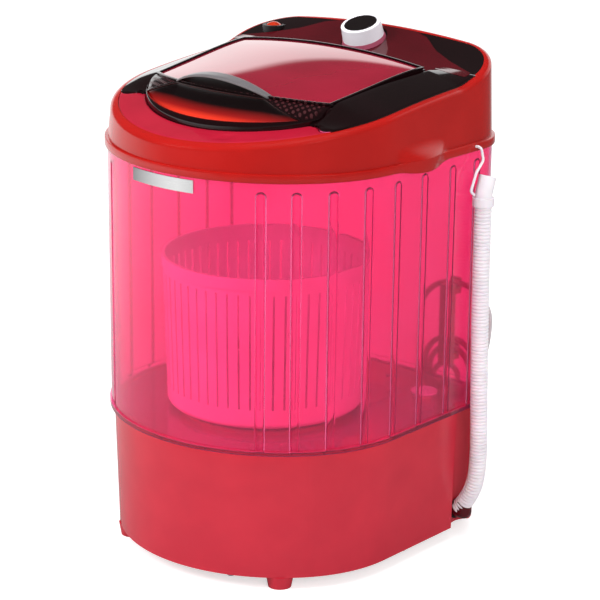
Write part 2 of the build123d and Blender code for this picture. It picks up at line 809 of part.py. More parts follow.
def make_collar():
    """Opaque upper housing: flange over the tub's edge, drafted wall and two carry grips."""
    step = TUB_TOP + SEAL_HEIGHT
    with BuildPart() as roof:
        add(front_roof())
        add(rear_roof())
    with BuildPart() as collar:
        add(frustum(COLLAR_BOTTOM_INSET, FLANGE_BOTTOM, COLLAR_TOP_INSET, ROOF_SPACE))
        add(roof.part, mode=Mode.INTERSECT)
        add(prism(0, FLANGE_BOTTOM, FLANGE_BOTTOM + FLANGE_HEIGHT))
        for side in (1, -1):
            add(grip(side))
        add(collar_hollow(), mode=Mode.SUBTRACT)
        add(prism(TUB_TOP_INSET - SEAT_GAP, ROOF_FLOOR, step), mode=Mode.SUBTRACT)
        add(prism(SEAM_INSET, step, ROOF_SPACE), mode=Mode.SUBTRACT)
        for side in (1, -1):
            add(grip_pocket(side), mode=Mode.SUBTRACT)
        with BuildSketch(sideways(HALF_WIDTH - HOOK_HOLE_DEPTH)):
            with Locations((HOOK_ROOT_Y, HOOK_ROOT_Z)):
                Circle(HOOK_WIRE_RADIUS + RUN_FIT)
        extrude(amount=2 * HOOK_HOLE_DEPTH, mode=Mode.SUBTRACT)
    save(collar, "collar")


def grip(side):
    """Carry grip, a rounded bulge on the side of the flange."""
    middle = (GRIP_BOTTOM + GRIP_TOP) / 2
    frame = {"x_dir": (0, side, 0), "z_dir": (side, 0, 0)}
    inner = Plane(origin=(side * (HALF_WIDTH - GRIP_ROOT), AXIS_Y + GRIP_Y, middle), **frame)
    outer = Plane(origin=(side * (HALF_WIDTH + GRIP_PROUD), AXIS_Y + GRIP_Y, middle - GRIP_DROOP), **frame)
    with BuildPart() as bulge:
        with BuildSketch(inner):
            RectangleRounded(GRIP_LENGTH, GRIP_TOP - GRIP_BOTTOM, GRIP_CORNER)
        with BuildSketch(outer):
            RectangleRounded(GRIP_TIP_LENGTH, GRIP_TIP_HEIGHT, GRIP_TIP_CORNER)
        loft(ruled=True)
    return bulge.part


def grip_pocket(side):
    """Hollow under the grip where the fingers go."""
    inner = HALF_WIDTH - TUB_TOP_INSET + SEAT_GAP
    outer = HALF_WIDTH + GRIP_PROUD - GRIP_WALL
    with BuildPart() as pocket:
        with BuildSketch(level(GRIP_BOTTOM - 2)):
            with Locations((side * (inner + outer) / 2, GRIP_Y)):
                Rectangle(outer - inner, GRIP_POCKET_LENGTH)
        extrude(amount=GRIP_POCKET_HEIGHT + 2)
    return pocket.part


def make_collar_seal():
    """Gasket between the tub's edge and the collar."""
    with BuildPart() as collar_seal:
        add(prism(TUB_TOP_INSET, TUB_TOP, TUB_TOP + SEAL_HEIGHT))
        add(prism(TUB_TOP_INSET + TUB_WALL, TUB_TOP - 1, TUB_TOP + SEAL_HEIGHT + 1), mode=Mode.SUBTRACT)
    save(collar_seal, "collar_seal")


def make_badge_plate():
    """Bare plate on the front of the tub, under the flange."""
    inset = wall_inset(BASE_TOP, TUB_BOTTOM_INSET, TUB_TOP, TUB_TOP_INSET, BADGE_TOP)
    with BuildPart() as badge_plate:
        add(prism(inset - BADGE_THICKNESS, BADGE_TOP - BADGE_HEIGHT, BADGE_TOP))
        add(frustum(TUB_BOTTOM_INSET, BASE_TOP, TUB_TOP_INSET, TUB_TOP), mode=Mode.SUBTRACT)
        with BuildSketch(level(BADGE_TOP - BADGE_HEIGHT)):
            with Locations((BADGE_X, -FRONT_DEPTH)):
                Rectangle(BADGE_WIDTH, HALF_WIDTH)
        extrude(amount=BADGE_HEIGHT, mode=Mode.INTERSECT)
    save(badge_plate, "badge_plate")


def ramp_roof(drop=0.0):
    """Block under the band's rear ends, which slope down to the rear deck beside the hinges."""
    crown = CROWN_RADIUS - math.sqrt(CROWN_RADIUS**2 - CROWN_HALF**2)
    seam_half = HALF_WIDTH - SEAM_INSET
    rise = CROWN_RADIUS - math.sqrt(CROWN_RADIUS**2 - seam_half**2)
    y, middle = SEAM_BREAK[0], seam_height(SEAM_BREAK[0]) + rise
    return crowned(((y, middle - crown, middle), REAR_SECTIONS[1]), CROWN_HALF, drop)


def sill_plan(grow=0.0):
    """Plan of everything ahead of the line where the dark band ends and the front sill begins."""
    x, y = SILL_CORNER
    far = CROWN_HALF
    with BuildSketch() as shape:
        with BuildLine():
            Polyline(
                (-far, y - SILL_SLOPE * (far - x) + grow),
                (-x, y + grow),
                (x, y + grow),
                (far, y - SILL_SLOPE * (far - x) + grow),
                (far, -far),
                (-far, -far),
                close=True,
            )
        make_face()
    return shape.sketch


def column(sketch):
    """Straight block over a plan sketch, through all the roofs."""
    with BuildPart() as block:
        with BuildSketch(level(ROOF_FLOOR)):
            add(sketch)
        extrude(amount=ROOF_SPACE - ROOF_FLOOR)
    return block.part


def behind_lid():
    """Plan of the narrow strip at the lid's rear edge, where nothing stands above the rear deck."""
    with BuildSketch() as shape:
        with Locations((0, LID_REAR_Y)):
            Rectangle(2 * (LID_REAR_X + BODY_GAP), 2 * (BODY_GAP + DECK_WALL))
    return shape.sketch


def beside_lid():
    """Plan of the two strips beside the lid's rear corners, where the band runs on past the hinges."""
    reach = LID_REAR_X + BODY_GAP
    with BuildSketch() as shape:
        for side in (1, -1):
            with Locations((side * (reach + CROWN_HALF) / 2, (SEAM_BREAK[0] + REAR_SECTIONS[1][0]) / 2)):
                Rectangle(CROWN_HALF - reach, REAR_SECTIONS[1][0] - SEAM_BREAK[0])
    return shape.sketch


def deck_seat(radius, low, high):
    """Cylinder about the knob axis, between two distances along it."""
    with BuildPart() as piece:
        with BuildSketch(knob_plane(low)):
            Circle(radius)
        extrude(amount=high - low)
    return piece.part


def knob_plane(along):
    """Plane square to the knob's leaning axis, at a distance along it from the knob's foot."""
    y, z = KNOB_SEAT
    lean = math.radians(KNOB_TILT)
    normal = Vector(0, -math.sin(lean), math.cos(lean))
    return Plane(origin=Vector(0, AXIS_Y + y, z) + normal * along, x_dir=(1, 0, 0), z_dir=normal)


def lid_hinge_rod(radius, near, far, side):
    """Cylinder along the hinge axis between two distances from the middle, on one side."""
    with BuildPart() as piece:
        with BuildSketch(sideways(side * near)):
            with Locations((HINGE_Y, HINGE_Z)):
                Circle(radius)
        extrude(amount=side * (far - near))
    return piece.part


def hinge_ears():
    """Lugs on the deck to each side of both lid knuckles."""
    near = HINGE_X - KNUCKLE_LENGTH / 2 - BODY_GAP - EAR_LENGTH
    far = HINGE_X + KNUCKLE_LENGTH / 2 + BODY_GAP
    with BuildPart() as ears:
        for start in (-near - EAR_LENGTH, -far - EAR_LENGTH, near, far):
            with BuildSketch(sideways(start)):
                with Locations((HINGE_Y, HINGE_Z)):
                    Circle(HINGE_RADIUS)
                with Locations((HINGE_Y, HINGE_Z - EAR_FOOT / 2)):
                    Rectangle(2 * HINGE_RADIUS - 1, EAR_FOOT)
            extrude(amount=EAR_LENGTH)
        for side in (1, -1):
            add(
                lid_hinge_rod(HINGE_PIN_RADIUS + SEAT_GAP, near - 1, far + EAR_LENGTH + 1, side),
                mode=Mode.SUBTRACT,
            )
    return ears.part


def skin(roof):
    """Wall of the deck, given the function of the roof that it follows."""
    with BuildPart() as wall:
        add(roof())
        add(roof(DECK_WALL), mode=Mode.SUBTRACT)
    return wall.part


def deck_risers():
    """Short walls beside the lid's rear corners, where the band stands above the rear deck."""
    with BuildPart() as risers:
        with BuildSketch(level(ROOF_FLOOR)):
            for side in (1, -1):
                middle = side * (LID_REAR_X + BODY_GAP + DECK_WALL / 2)
                with Locations((middle, (SEAM_BREAK[0] + RAMP_REAR_Y) / 2)):
                    Rectangle(DECK_WALL, RAMP_REAR_Y - SEAM_BREAK[0])
        extrude(amount=ROOF_SPACE - ROOF_FLOOR)
        add(ramp_roof(), mode=Mode.INTERSECT)
        add(rear_roof(DECK_WALL), mode=Mode.SUBTRACT)
    return risers.part


def deck_band():
    """Crowned strips along both sides of the lid, with the ramps behind them."""
    with BuildPart() as strips:
        add(skin(band_roof))
        add(column(sill_plan()), mode=Mode.SUBTRACT)
        add(column(behind_lid()), mode=Mode.SUBTRACT)
    with BuildPart() as ramps:
        add(skin(ramp_roof))
        add(column(beside_lid()), mode=Mode.INTERSECT)
    with BuildPart() as band:
        add(strips.part)
        add(ramps.part)
        add(deck_risers())
    return band.part


def lid_rim():
    """Upstand round the lid's opening, higher beside the lid than in front of it."""
    with BuildPart() as sides:
        add(column(lid_plan(LID_FRONT, -BODY_GAP - DECK_WALL)))
        add(band_roof(), mode=Mode.INTERSECT)
        add(column(sill_plan()), mode=Mode.SUBTRACT)
        add(column(behind_lid()), mode=Mode.SUBTRACT)
    with BuildPart() as front:
        add(column(lid_plan(LID_FRONT, -BODY_GAP - DECK_WALL)))
        add(front_roof(DECK_WALL + SEAT_GAP), mode=Mode.INTERSECT)
        add(column(sill_plan()), mode=Mode.INTERSECT)
    with BuildPart() as rim:
        add(sides.part)
        add(front.part)
    return rim.part


def lid_ledge():
    """Slanted ledge that the closed lid stands over."""
    with BuildPart() as ledge:
        add(column(lid_plan(LID_FRONT, -BODY_GAP - DECK_WALL)))
        add(column(lid_plan(LID_FRONT, LEDGE_WIDTH)), mode=Mode.SUBTRACT)
        add(lid_foot(), mode=Mode.INTERSECT)
        add(lid_foot(-DECK_WALL), mode=Mode.SUBTRACT)
    return ledge.part


def make_deck():
    """Glossy ring round the lid, with the rear deck behind it."""
    near, far = HINGE_X - KNUCKLE_LENGTH / 2 - BODY_GAP, HINGE_X + KNUCKLE_LENGTH / 2 + BODY_GAP
    with BuildPart() as deck:
        add(deck_band())
        add(skin(rear_roof))
        add(lid_rim())
        add(lid_foot(-DECK_WALL), mode=Mode.SUBTRACT)
        add(prism(SEAM_INSET + SEAT_GAP, ROOF_FLOOR, ROOF_SPACE), mode=Mode.INTERSECT)
        add(column(lid_plan(LID_FRONT, -BODY_GAP)), mode=Mode.SUBTRACT)
        add(lid_ledge())
        for side in (1, -1):
            add(lid_hinge_rod(HINGE_RADIUS + BODY_GAP, near, far, side), mode=Mode.SUBTRACT)
        add(hinge_ears())
        add(deck_seat(TIMER_OPENING, -TIMER_DROP - TIMER_DEPTH, TIMER_OPENING), mode=Mode.SUBTRACT)
        add(rod(INLET_NECK + SEAT_GAP, ROOF_FLOOR, ROOF_SPACE, INLET_X, INLET_Y), mode=Mode.SUBTRACT)
    save(deck, "deck")


def make_front_sill():
    """Crescent ahead of the lid, between the dark band and the collar's edge."""
    with BuildPart() as front_sill:
        add(prism(SEAM_INSET + SEAT_GAP, ROOF_FLOOR, ROOF_SPACE))
        add(column(sill_plan(-SEAT_GAP)), mode=Mode.INTERSECT)
        add(front_roof(), mode=Mode.INTERSECT)
        add(front_roof(DECK_WALL), mode=Mode.SUBTRACT)
        add(column(lid_plan(LID_FRONT, -BODY_GAP)), mode=Mode.SUBTRACT)
    save(front_sill, "front_sill")


def panel_plan():
    """The control panel from above: a raised hat on the rear deck with a wing to each side."""
    right = (PANEL_FRONT, *PANEL_OUTLINE)
    left = [(-x, y) for x, y in reversed(right)]
    with BuildSketch() as shape:
        with BuildLine():
            Polyline(*right, *left, close=True)
        make_face()
        fillet(shape.vertices(), PANEL_CORNER)
    return shape.sketch


def make_control_panel():
    """Raised panel behind the lid, with the seat of the timer knob."""
    seat = -SEAT_DROP
    with BuildPart() as wings:
        add(ramp_roof(-PANEL_RISE))
        add(column(beside_lid()), mode=Mode.INTERSECT)
    with BuildPart() as control_panel:
        add(rear_roof(-PANEL_RISE))
        add(wings.part)
        add(column(panel_plan()), mode=Mode.INTERSECT)
        add(rear_roof(-SEAT_GAP), mode=Mode.SUBTRACT)
        add(ramp_cut(), mode=Mode.SUBTRACT)
        add(deck_seat(SEAT_RADIUS, seat, seat + 3 * SKIRT_FOOT), mode=Mode.SUBTRACT)
        add(deck_seat(SEAT_RADIUS + 2, seat - SEAT_THICKNESS, seat))
        add(deck_seat(TIMER_SHAFT_RADIUS + 2, seat - 2 * SEAT_THICKNESS, seat + 1), mode=Mode.SUBTRACT)
    save(control_panel, "control_panel")


def ramp_cut():
    """The part of the ramps that the panel's wings rest on."""
    with BuildPart() as block:
        add(ramp_roof(-SEAT_GAP))
        add(column(beside_lid()), mode=Mode.INTERSECT)
    return block.part


def window_plan(grow=0.0):
    """Opening of the lid window from above."""
    with BuildSketch() as shape:
        add(lid_plan(LID_FRONT, WINDOW_FRAME - grow))
        with BuildLine():
            side = LID_REAR_X + WINDOW_FRAME
            ThreePointArc(
                (-WINDOW_CORNER[0], -WINDOW_CORNER[1] - grow),
                (0, -WINDOW_FRONT - grow),
                (WINDOW_CORNER[0], -WINDOW_CORNER[1] - grow),
            )
            Polyline(
                (WINDOW_CORNER[0], -WINDOW_CORNER[1] - grow),
                (side, -WINDOW_CORNER[1] - grow),
                (side, LID_REAR_Y),
                (-side, LID_REAR_Y),
                (-side, -WINDOW_CORNER[1] - grow),
                (-WINDOW_CORNER[0], -WINDOW_CORNER[1] - grow),
            )
        make_face(mode=Mode.INTERSECT)
    return shape.sketch


def scoop(radius, half_length):
    """Spindle whose lower front makes the finger scoop of the lid."""
    y, z = SCOOP_CENTRE
    with BuildPart() as bowl:
        with BuildSketch(Plane(origin=(0, AXIS_Y + y, z), x_dir=(1, 0, 0), z_dir=(0, -1, 0))):
            with BuildLine():
                ThreePointArc((-half_length, 0), (0, radius), (half_length, 0))
                Line((half_length, 0), (-half_length, 0))
            make_face()
        revolve(axis=Axis((0, AXIS_Y + y, z), (1, 0, 0)))
    return bowl.part


def make_lid_frame():
    """Crowned shell of the lid, with its window opening, scoop cup and hinge knuckles."""
    wall = LID_WALL
    with BuildPart() as lip:
        add(column(window_plan(WINDOW_LIP)))
        add(column(window_plan(-WINDOW_LIP)), mode=Mode.SUBTRACT)
        add(lid_body(0, wall), mode=Mode.INTERSECT)
        add(lid_body(0, 2 * wall), mode=Mode.SUBTRACT)
    with BuildPart() as cup:
        add(scoop(SCOOP_RADIUS + wall, SCOOP_HALF_LENGTH + 2 * wall))
        add(lid_body(), mode=Mode.INTERSECT)
    with BuildPart() as lid_frame:
        add(lid_body())
        add(lid_body(wall, wall), mode=Mode.SUBTRACT)
        add(column(window_plan()), mode=Mode.SUBTRACT)
        add(lip.part)
        add(cup.part)
        add(scoop(SCOOP_RADIUS, SCOOP_HALF_LENGTH), mode=Mode.SUBTRACT)
        add(lid_foot(SKIRT_CLEARANCE), mode=Mode.SUBTRACT)
        for side in (1, -1):
            near, far = HINGE_X - KNUCKLE_LENGTH / 2, HINGE_X + KNUCKLE_LENGTH / 2
            add(lid_hinge_rod(HINGE_RADIUS, near, far, side))
            with BuildSketch(sideways(side * near)):
                with Locations(((LID_REAR_Y - 1 + HINGE_Y) / 2, HINGE_Z)):
                    Rectangle(HINGE_Y - LID_REAR_Y + 1, HINGE_RADIUS + 1)
            extrude(amount=side * KNUCKLE_LENGTH)
            add(lid_hinge_rod(HINGE_PIN_RADIUS + RUN_FIT, near - 1, far + 1, side), mode=Mode.SUBTRACT)
    save(lid_frame, "lid_frame")


def make_lid_window():
    """Crowned pane that fills the lid's opening."""
    with BuildPart() as lid_window:
        add(lid_body())
        add(lid_body(0, LID_WALL), mode=Mode.SUBTRACT)
        add(column(window_plan(-SEAT_GAP)), mode=Mode.INTERSECT)
        add(scoop(SCOOP_RADIUS + LID_WALL + SEAT_GAP, SCOOP_HALF_LENGTH + 2 * LID_WALL), mode=Mode.SUBTRACT)
    save(lid_window, "lid_window")


def make_lid_scoop():
    """Lining of the finger scoop at the front of the lid."""
    with BuildPart() as lid_scoop:
        add(scoop(SCOOP_RADIUS - SEAT_GAP, SCOOP_HALF_LENGTH - SEAT_GAP))
        add(scoop(SCOOP_RADIUS - SCOOP_WALL, SCOOP_HALF_LENGTH - SCOOP_WALL), mode=Mode.SUBTRACT)
        add(lid_body(), mode=Mode.INTERSECT)
    save(lid_scoop, "lid_scoop")


def make_lid_handle():
    """Arched strip over the scoop, on two legs that go down inside the lid."""
    half, inner = HANDLE_SPAN / 2, HANDLE_SPAN / 2 - 2 * HANDLE_THICKNESS
    foot, tip = HANDLE_FOOT_Z, HANDLE_FOOT_Z - HANDLE_LEG
    under = foot - HANDLE_THICKNESS + HANDLE_HAUNCH
    with BuildPart() as lid_handle:
        with BuildSketch(upright(HANDLE_Y + HANDLE_DEPTH / 2)):
            with BuildLine():
                ThreePointArc((-half, foot), (0, foot + HANDLE_RISE), (half, foot))
                Polyline((half, foot), (half, tip), (inner, tip), (inner, under))
                ThreePointArc((inner, under), (0, foot + HANDLE_RISE - HANDLE_THICKNESS), (-inner, under))
                Polyline((-inner, under), (-inner, tip), (-half, tip), (-half, foot))
            make_face()
        extrude(amount=HANDLE_DEPTH)
        add(lid_body(-1, -SEAT_GAP), mode=Mode.SUBTRACT)
    save(lid_handle, "lid_handle")


def make_hinge_pins():
    """Pins through the knuckles and ears of both hinges."""
    near = HINGE_X - KNUCKLE_LENGTH / 2 - BODY_GAP - EAR_LENGTH
    far = HINGE_X + KNUCKLE_LENGTH / 2 + BODY_GAP + EAR_LENGTH
    with BuildPart() as hinge_pins:
        for side in (1, -1):
            add(lid_hinge_rod(HINGE_PIN_RADIUS, near, far, side))
    save(hinge_pins, "hinge_pins")


def make_timer():
    """Timer block under the panel, and its shaft."""
    top = -SEAT_DROP - SEAT_THICKNESS
    with BuildPart() as timer:
        with BuildSketch(knob_plane(top - TIMER_DEPTH)):
            RectangleRounded(TIMER_SIDE, TIMER_SIDE, TIMER_CORNER)
        extrude(amount=TIMER_DEPTH)
        add(deck_seat(TIMER_SHAFT_RADIUS + RUN_FIT, top - TIMER_BORE_DEPTH, top + 1), mode=Mode.SUBTRACT)
    save(timer, "timer")

    with BuildPart() as timer_shaft:
        add(deck_seat(TIMER_SHAFT_RADIUS, KNOB_BOSS_BORE_DEPTH - TIMER_SHAFT_LENGTH, KNOB_BOSS_BORE_DEPTH))
    save(timer_shaft, "timer_shaft")


def make_timer_knob():
    """Knob with its cap, and the skirt ring under it."""
    with BuildPart() as timer_knob:
        with BuildSketch(knob_plane(0)):
            Circle(KNOB_RADIUS)
        with BuildSketch(knob_plane(KNOB_HEIGHT)):
            Circle(KNOB_TOP_RADIUS)
        loft(ruled=True)
        chamfer(timer_knob.edges().group_by(Axis.Z)[-1], KNOB_CHAMFER)
        under = KNOB_HEIGHT - CAP_THICKNESS - KNOB_WALL
        add(deck_seat(KNOB_TOP_RADIUS - KNOB_WALL, -1, under), mode=Mode.SUBTRACT)
        add(deck_seat(KNOB_BOSS_RADIUS, 0, under + 1))
        bore, seat = KNOB_BOSS_BORE_DEPTH + SEAT_GAP, KNOB_HEIGHT - CAP_THICKNESS
        add(deck_seat(TIMER_SHAFT_RADIUS + SEAT_GAP, -1, bore), mode=Mode.SUBTRACT)
        add(deck_seat(CAP_RADIUS + SEAT_GAP, seat, KNOB_HEIGHT + 1), mode=Mode.SUBTRACT)
        with BuildSketch(knob_plane(KNOB_HEIGHT - POINTER_DEPTH)):
            with PolarLocations((CAP_RADIUS + KNOB_RADIUS) / 2, 1, POINTER_ANGLE):
                Rectangle(KNOB_RADIUS - CAP_RADIUS + 2, POINTER_WIDTH)
        extrude(amount=2 * POINTER_DEPTH, mode=Mode.SUBTRACT)
    save(timer_knob, "timer_knob")

    with BuildPart() as knob_cap:
        add(deck_seat(CAP_RADIUS, KNOB_HEIGHT - CAP_THICKNESS, KNOB_HEIGHT))
    save(knob_cap, "knob_cap")

    with BuildPart() as knob_skirt:
        with BuildSketch(knob_plane(-SKIRT_FOOT)):
            Circle(SKIRT_RADIUS)
        with BuildSketch(knob_plane(0)):
            Circle(KNOB_RADIUS + SKIRT_STEP)
        loft(ruled=True)
        add(deck_seat(SKIRT_BORE, -SKIRT_FOOT - 1, 1), mode=Mode.SUBTRACT)
    save(knob_skirt, "knob_skirt")


def make_inlet():
    """Water inlet socket on the left of the rear deck, and its plug cap."""
    x, y, top = INLET_X, INLET_Y, INLET_TOP
    with BuildPart() as inlet_socket:
        add(rod(INLET_RADIUS, top - 2 * INLET_DEPTH, top, x, y))
        add(rear_roof(-SEAT_GAP), mode=Mode.SUBTRACT)
        add(rod(INLET_NECK, top - INLET_NECK_DEPTH, top, x, y))
        add(rod(INLET_BORE, top - INLET_SEAT, top + 1, x, y), mode=Mode.SUBTRACT)
        add(rod(INLET_THROAT, top - 2 * INLET_DEPTH, top + 1, x, y), mode=Mode.SUBTRACT)
    save(inlet_socket, "inlet_socket")

    radius, foot, rim = INLET_BORE - RUN_FIT, top - INLET_SEAT + BODY_GAP, top - 1
    dome = (radius**2 + INLET_DOME**2) / (2 * INLET_DOME)
    spread = math.degrees(math.asin(radius / dome))
    with BuildPart() as inlet_cap:
        with BuildSketch(upright(y)):
            with BuildLine():
                CenterArc((x, rim + INLET_DOME - dome), dome, 90 - spread, spread)
                Polyline((x, rim + INLET_DOME), (x, foot), (x + radius, foot), (x + radius, rim))
            make_face()
        revolve(axis=Axis((x, AXIS_Y + y, 0), (0, 0, 1)))
    save(inlet_cap, "inlet_cap")


def make_motor():
    """Motor with its bracket, bolts and shaft."""
    top = MOTOR_BOTTOM + MOTOR_HEIGHT
    with BuildPart() as motor:
        add(rod(MOTOR_RADIUS, MOTOR_BOTTOM, top, 0, MOTOR_Y))
        fillet(motor.edges().group_by(Axis.Z)[0], MOTOR_EDGE)
        add(rod(MOTOR_BOSS_RADIUS, MOTOR_BOTTOM - MOTOR_BOSS_LENGTH, MOTOR_BOTTOM + 1, 0, MOTOR_Y))
        shaft_top = top - 2 * MOTOR_BOSS_LENGTH
        add(
            rod(MOTOR_SHAFT_RADIUS + RUN_FIT, MOTOR_BOTTOM - MOTOR_BOSS_LENGTH - 1, shaft_top, 0, MOTOR_Y),
            mode=Mode.SUBTRACT,
        )
    save(motor, "motor")

    with BuildPart() as motor_bracket:
        with BuildSketch(level(top)):
            with Locations((0, BRACKET_Y)):
                RectangleRounded(BRACKET_WIDTH, BRACKET_DEPTH, POST_RADIUS)
            with Locations((0, MOTOR_Y)):
                Circle(MOTOR_BOSS_RADIUS, mode=Mode.SUBTRACT)
            with Locations(*bracket_posts()):
                Circle(BOLT_RADIUS + SEAT_GAP, mode=Mode.SUBTRACT)
        extrude(amount=BRACKET_THICKNESS)
    save(motor_bracket, "motor_bracket")

    with BuildPart() as motor_bolts:
        for x, y in bracket_posts():
            add(rod(BOLT_HEAD_RADIUS, top - BOLT_HEAD_HEIGHT, top, x, y))
            add(rod(BOLT_RADIUS, top - 1, top + BOLT_LENGTH, x, y))
    save(motor_bolts, "motor_bolts")

    with BuildPart() as motor_shaft:
        bottom = PULLEY_LEVEL - PULLEY_WIDTH / 2
        add(rod(MOTOR_SHAFT_RADIUS, bottom - 2, top - 2 * MOTOR_BOSS_LENGTH - 1, 0, MOTOR_Y))
    save(motor_shaft, "motor_shaft")


def pulley(radius, bore, y=0.0):
    """Grooved pulley at the belt's level."""
    half, groove = PULLEY_WIDTH / 2, BELT_WIDTH / 2 + BELT_GAP
    with BuildPart() as wheel:
        add(rod(radius, PULLEY_LEVEL - half, PULLEY_LEVEL + half, 0, y))
        add(
            tube(radius + 1, radius - GROOVE_DEPTH, PULLEY_LEVEL - groove, PULLEY_LEVEL + groove, 0, y),
            mode=Mode.SUBTRACT,
        )
        add(rod(bore, PULLEY_LEVEL - PULLEY_WIDTH, PULLEY_LEVEL + PULLEY_WIDTH, 0, y), mode=Mode.SUBTRACT)
    return wheel.part


def belt_loop(extra):
    """Belt outline round both pulleys."""
    with BuildSketch() as shape:
        Circle(PULLEY_RADIUS - GROOVE_DEPTH + BELT_GAP + extra)
        with Locations((0, MOTOR_Y)):
            Circle(MOTOR_PULLEY_RADIUS - GROOVE_DEPTH + BELT_GAP + extra)
        make_hull()
    return shape.sketch


def make_drive():
    """Both pulleys, the belt, the nut and the drive shaft."""
    with BuildPart() as motor_pulley:
        add(pulley(MOTOR_PULLEY_RADIUS, MOTOR_SHAFT_RADIUS + SEAT_GAP, MOTOR_Y))
    save(motor_pulley, "motor_pulley")

    with BuildPart() as driven_pulley:
        add(pulley(PULLEY_RADIUS, SHAFT_RADIUS + SEAT_GAP))
        with BuildSketch(level(PULLEY_LEVEL - PULLEY_WIDTH)):
            with PolarLocations(PULLEY_HOLE_CIRCLE, PULLEY_HOLES):
                Circle(PULLEY_HOLE_RADIUS)
        extrude(amount=2 * PULLEY_WIDTH, mode=Mode.SUBTRACT)
    save(driven_pulley, "driven_pulley")

    with BuildPart() as drive_belt:
        with BuildSketch(level(PULLEY_LEVEL - BELT_WIDTH / 2)):
            add(belt_loop(BELT_THICKNESS))
            add(belt_loop(0), mode=Mode.SUBTRACT)
        extrude(amount=BELT_WIDTH)
    save(drive_belt, "drive_belt")

    with BuildPart() as pulley_nut:
        foot = PULLEY_LEVEL - PULLEY_WIDTH / 2
        with BuildSketch(level(foot - NUT_HEIGHT)):
            RegularPolygon(NUT_RADIUS, NUT_SIDES)
            Circle(SHAFT_RADIUS + SEAT_GAP, mode=Mode.SUBTRACT)
        extrude(amount=NUT_HEIGHT)
    save(pulley_nut, "pulley_nut")

    with BuildPart() as drive_shaft:
        add(rod(SHAFT_RADIUS, SHAFT_BOTTOM, SHAFT_TOP))
        add(rod(SCREW_RADIUS + SEAT_GAP, SHAFT_TOP - SCREW_LENGTH, SHAFT_TOP + 1), mode=Mode.SUBTRACT)
    save(drive_shaft, "drive_shaft")


def make_bearings():
    """Bearing housing under the tub, with two bearings, a seal and screws."""
    dish_bottom = BASE_TOP + TUB_FLOOR - DISH_DEPTH - TUB_FLOOR
    flange = dish_bottom - HOUSING_FLANGE_THICKNESS
    bore, seat = SHAFT_RADIUS + RUN_FIT, BEARING_RADIUS + SEAT_GAP
    with BuildPart() as bearing_housing:
        add(rod(HOUSING_RADIUS, HOUSING_BOTTOM, dish_bottom))
        add(rod(HOUSING_FLANGE_RADIUS, flange, dish_bottom))
        add(rod(HOUSING_SPIGOT_RADIUS, flange, HOUSING_TOP))
        add(rod(HOUSING_BORE, HOUSING_BOTTOM - 1, HOUSING_TOP + 1), mode=Mode.SUBTRACT)
        add(rod(seat, HOUSING_BOTTOM - 1, HOUSING_BOTTOM + 1 + BEARING_WIDTH), mode=Mode.SUBTRACT)
        add(rod(seat, BEARING_TOP_Z, HOUSING_TOP + 1), mode=Mode.SUBTRACT)
        for x, y in housing_screw_places():
            add(rod(SCREW_RADIUS + SEAT_GAP, flange - 1, dish_bottom + 1, x, y), mode=Mode.SUBTRACT)
    save(bearing_housing, "bearing_housing")

    for node, bottom in (("lower_bearing", HOUSING_BOTTOM + 1), ("upper_bearing", BEARING_TOP_Z)):
        with BuildPart() as bearing:
            add(tube(BEARING_RADIUS, bore, bottom, bottom + BEARING_WIDTH))
            shield = BEARING_SHIELD_DEPTH
            for end in (bottom - shield, bottom + BEARING_WIDTH - shield):
                add(tube(*BEARING_SHIELD_RADII, end, end + 2 * shield), mode=Mode.SUBTRACT)
        save(bearing, node)

    with BuildPart() as shaft_seal:
        add(tube(BEARING_RADIUS, bore, SEAL_BOTTOM, HOUSING_TOP))
    save(shaft_seal, "shaft_seal")

    with BuildPart() as housing_screws:
        for x, y in housing_screw_places():
            add(rod(SCREW_HEAD_RADIUS, flange - SCREW_HEAD_HEIGHT, flange, x, y))
            add(rod(SCREW_RADIUS, flange - 1, dish_bottom + TUB_FLOOR - 1, x, y))
    save(housing_screws, "housing_screws")


def make_pulsator():
    """Vaned disc in the dish of the tub floor, and its screw."""
    rim, centre = PULSATOR_Z + PULSATOR_THICKNESS, PULSATOR_Z + PULSATOR_THICKNESS + PULSATOR_RISE
    with BuildPart() as pulsator:
        with BuildSketch(upright(0)):
            with BuildLine():
                Polyline(
                    (0, PULSATOR_Z),
                    (PULSATOR_RADIUS, PULSATOR_Z),
                    (PULSATOR_RADIUS, rim),
                    (HUB_RADIUS, centre),
                    (HUB_RADIUS, HUB_TOP),
                    (0, HUB_TOP),
                    close=True,
                )
            make_face()
        revolve(axis=Axis((0, AXIS_Y, 0), (0, 0, 1)))
        with BuildSketch(level(rim - 1)):
            with PolarLocations(VANE_CIRCLE, VANE_COUNT):
                SlotOverall(VANE_LENGTH, VANE_WIDTH)
        extrude(amount=VANE_HEIGHT + 1)
        add(rod(SHAFT_RADIUS + SEAT_GAP, PULSATOR_Z - 1, SHAFT_TOP + SEAT_GAP), mode=Mode.SUBTRACT)
        add(rod(SCREW_RADIUS + SEAT_GAP, PULSATOR_Z, HUB_TOP + 1), mode=Mode.SUBTRACT)
        add(rod(SCREW_HEAD_RADIUS + BODY_GAP, HUB_TOP - SCREW_HEAD_HEIGHT, HUB_TOP + 1), mode=Mode.SUBTRACT)
    save(pulsator, "pulsator")

    with BuildPart() as pulsator_screw:
        add(rod(SCREW_HEAD_RADIUS, HUB_TOP - SCREW_HEAD_HEIGHT, HUB_TOP))
        add(rod(SCREW_RADIUS, SHAFT_TOP - SCREW_LENGTH + 1, HUB_TOP - 1))
    save(pulsator_screw, "pulsator_screw")


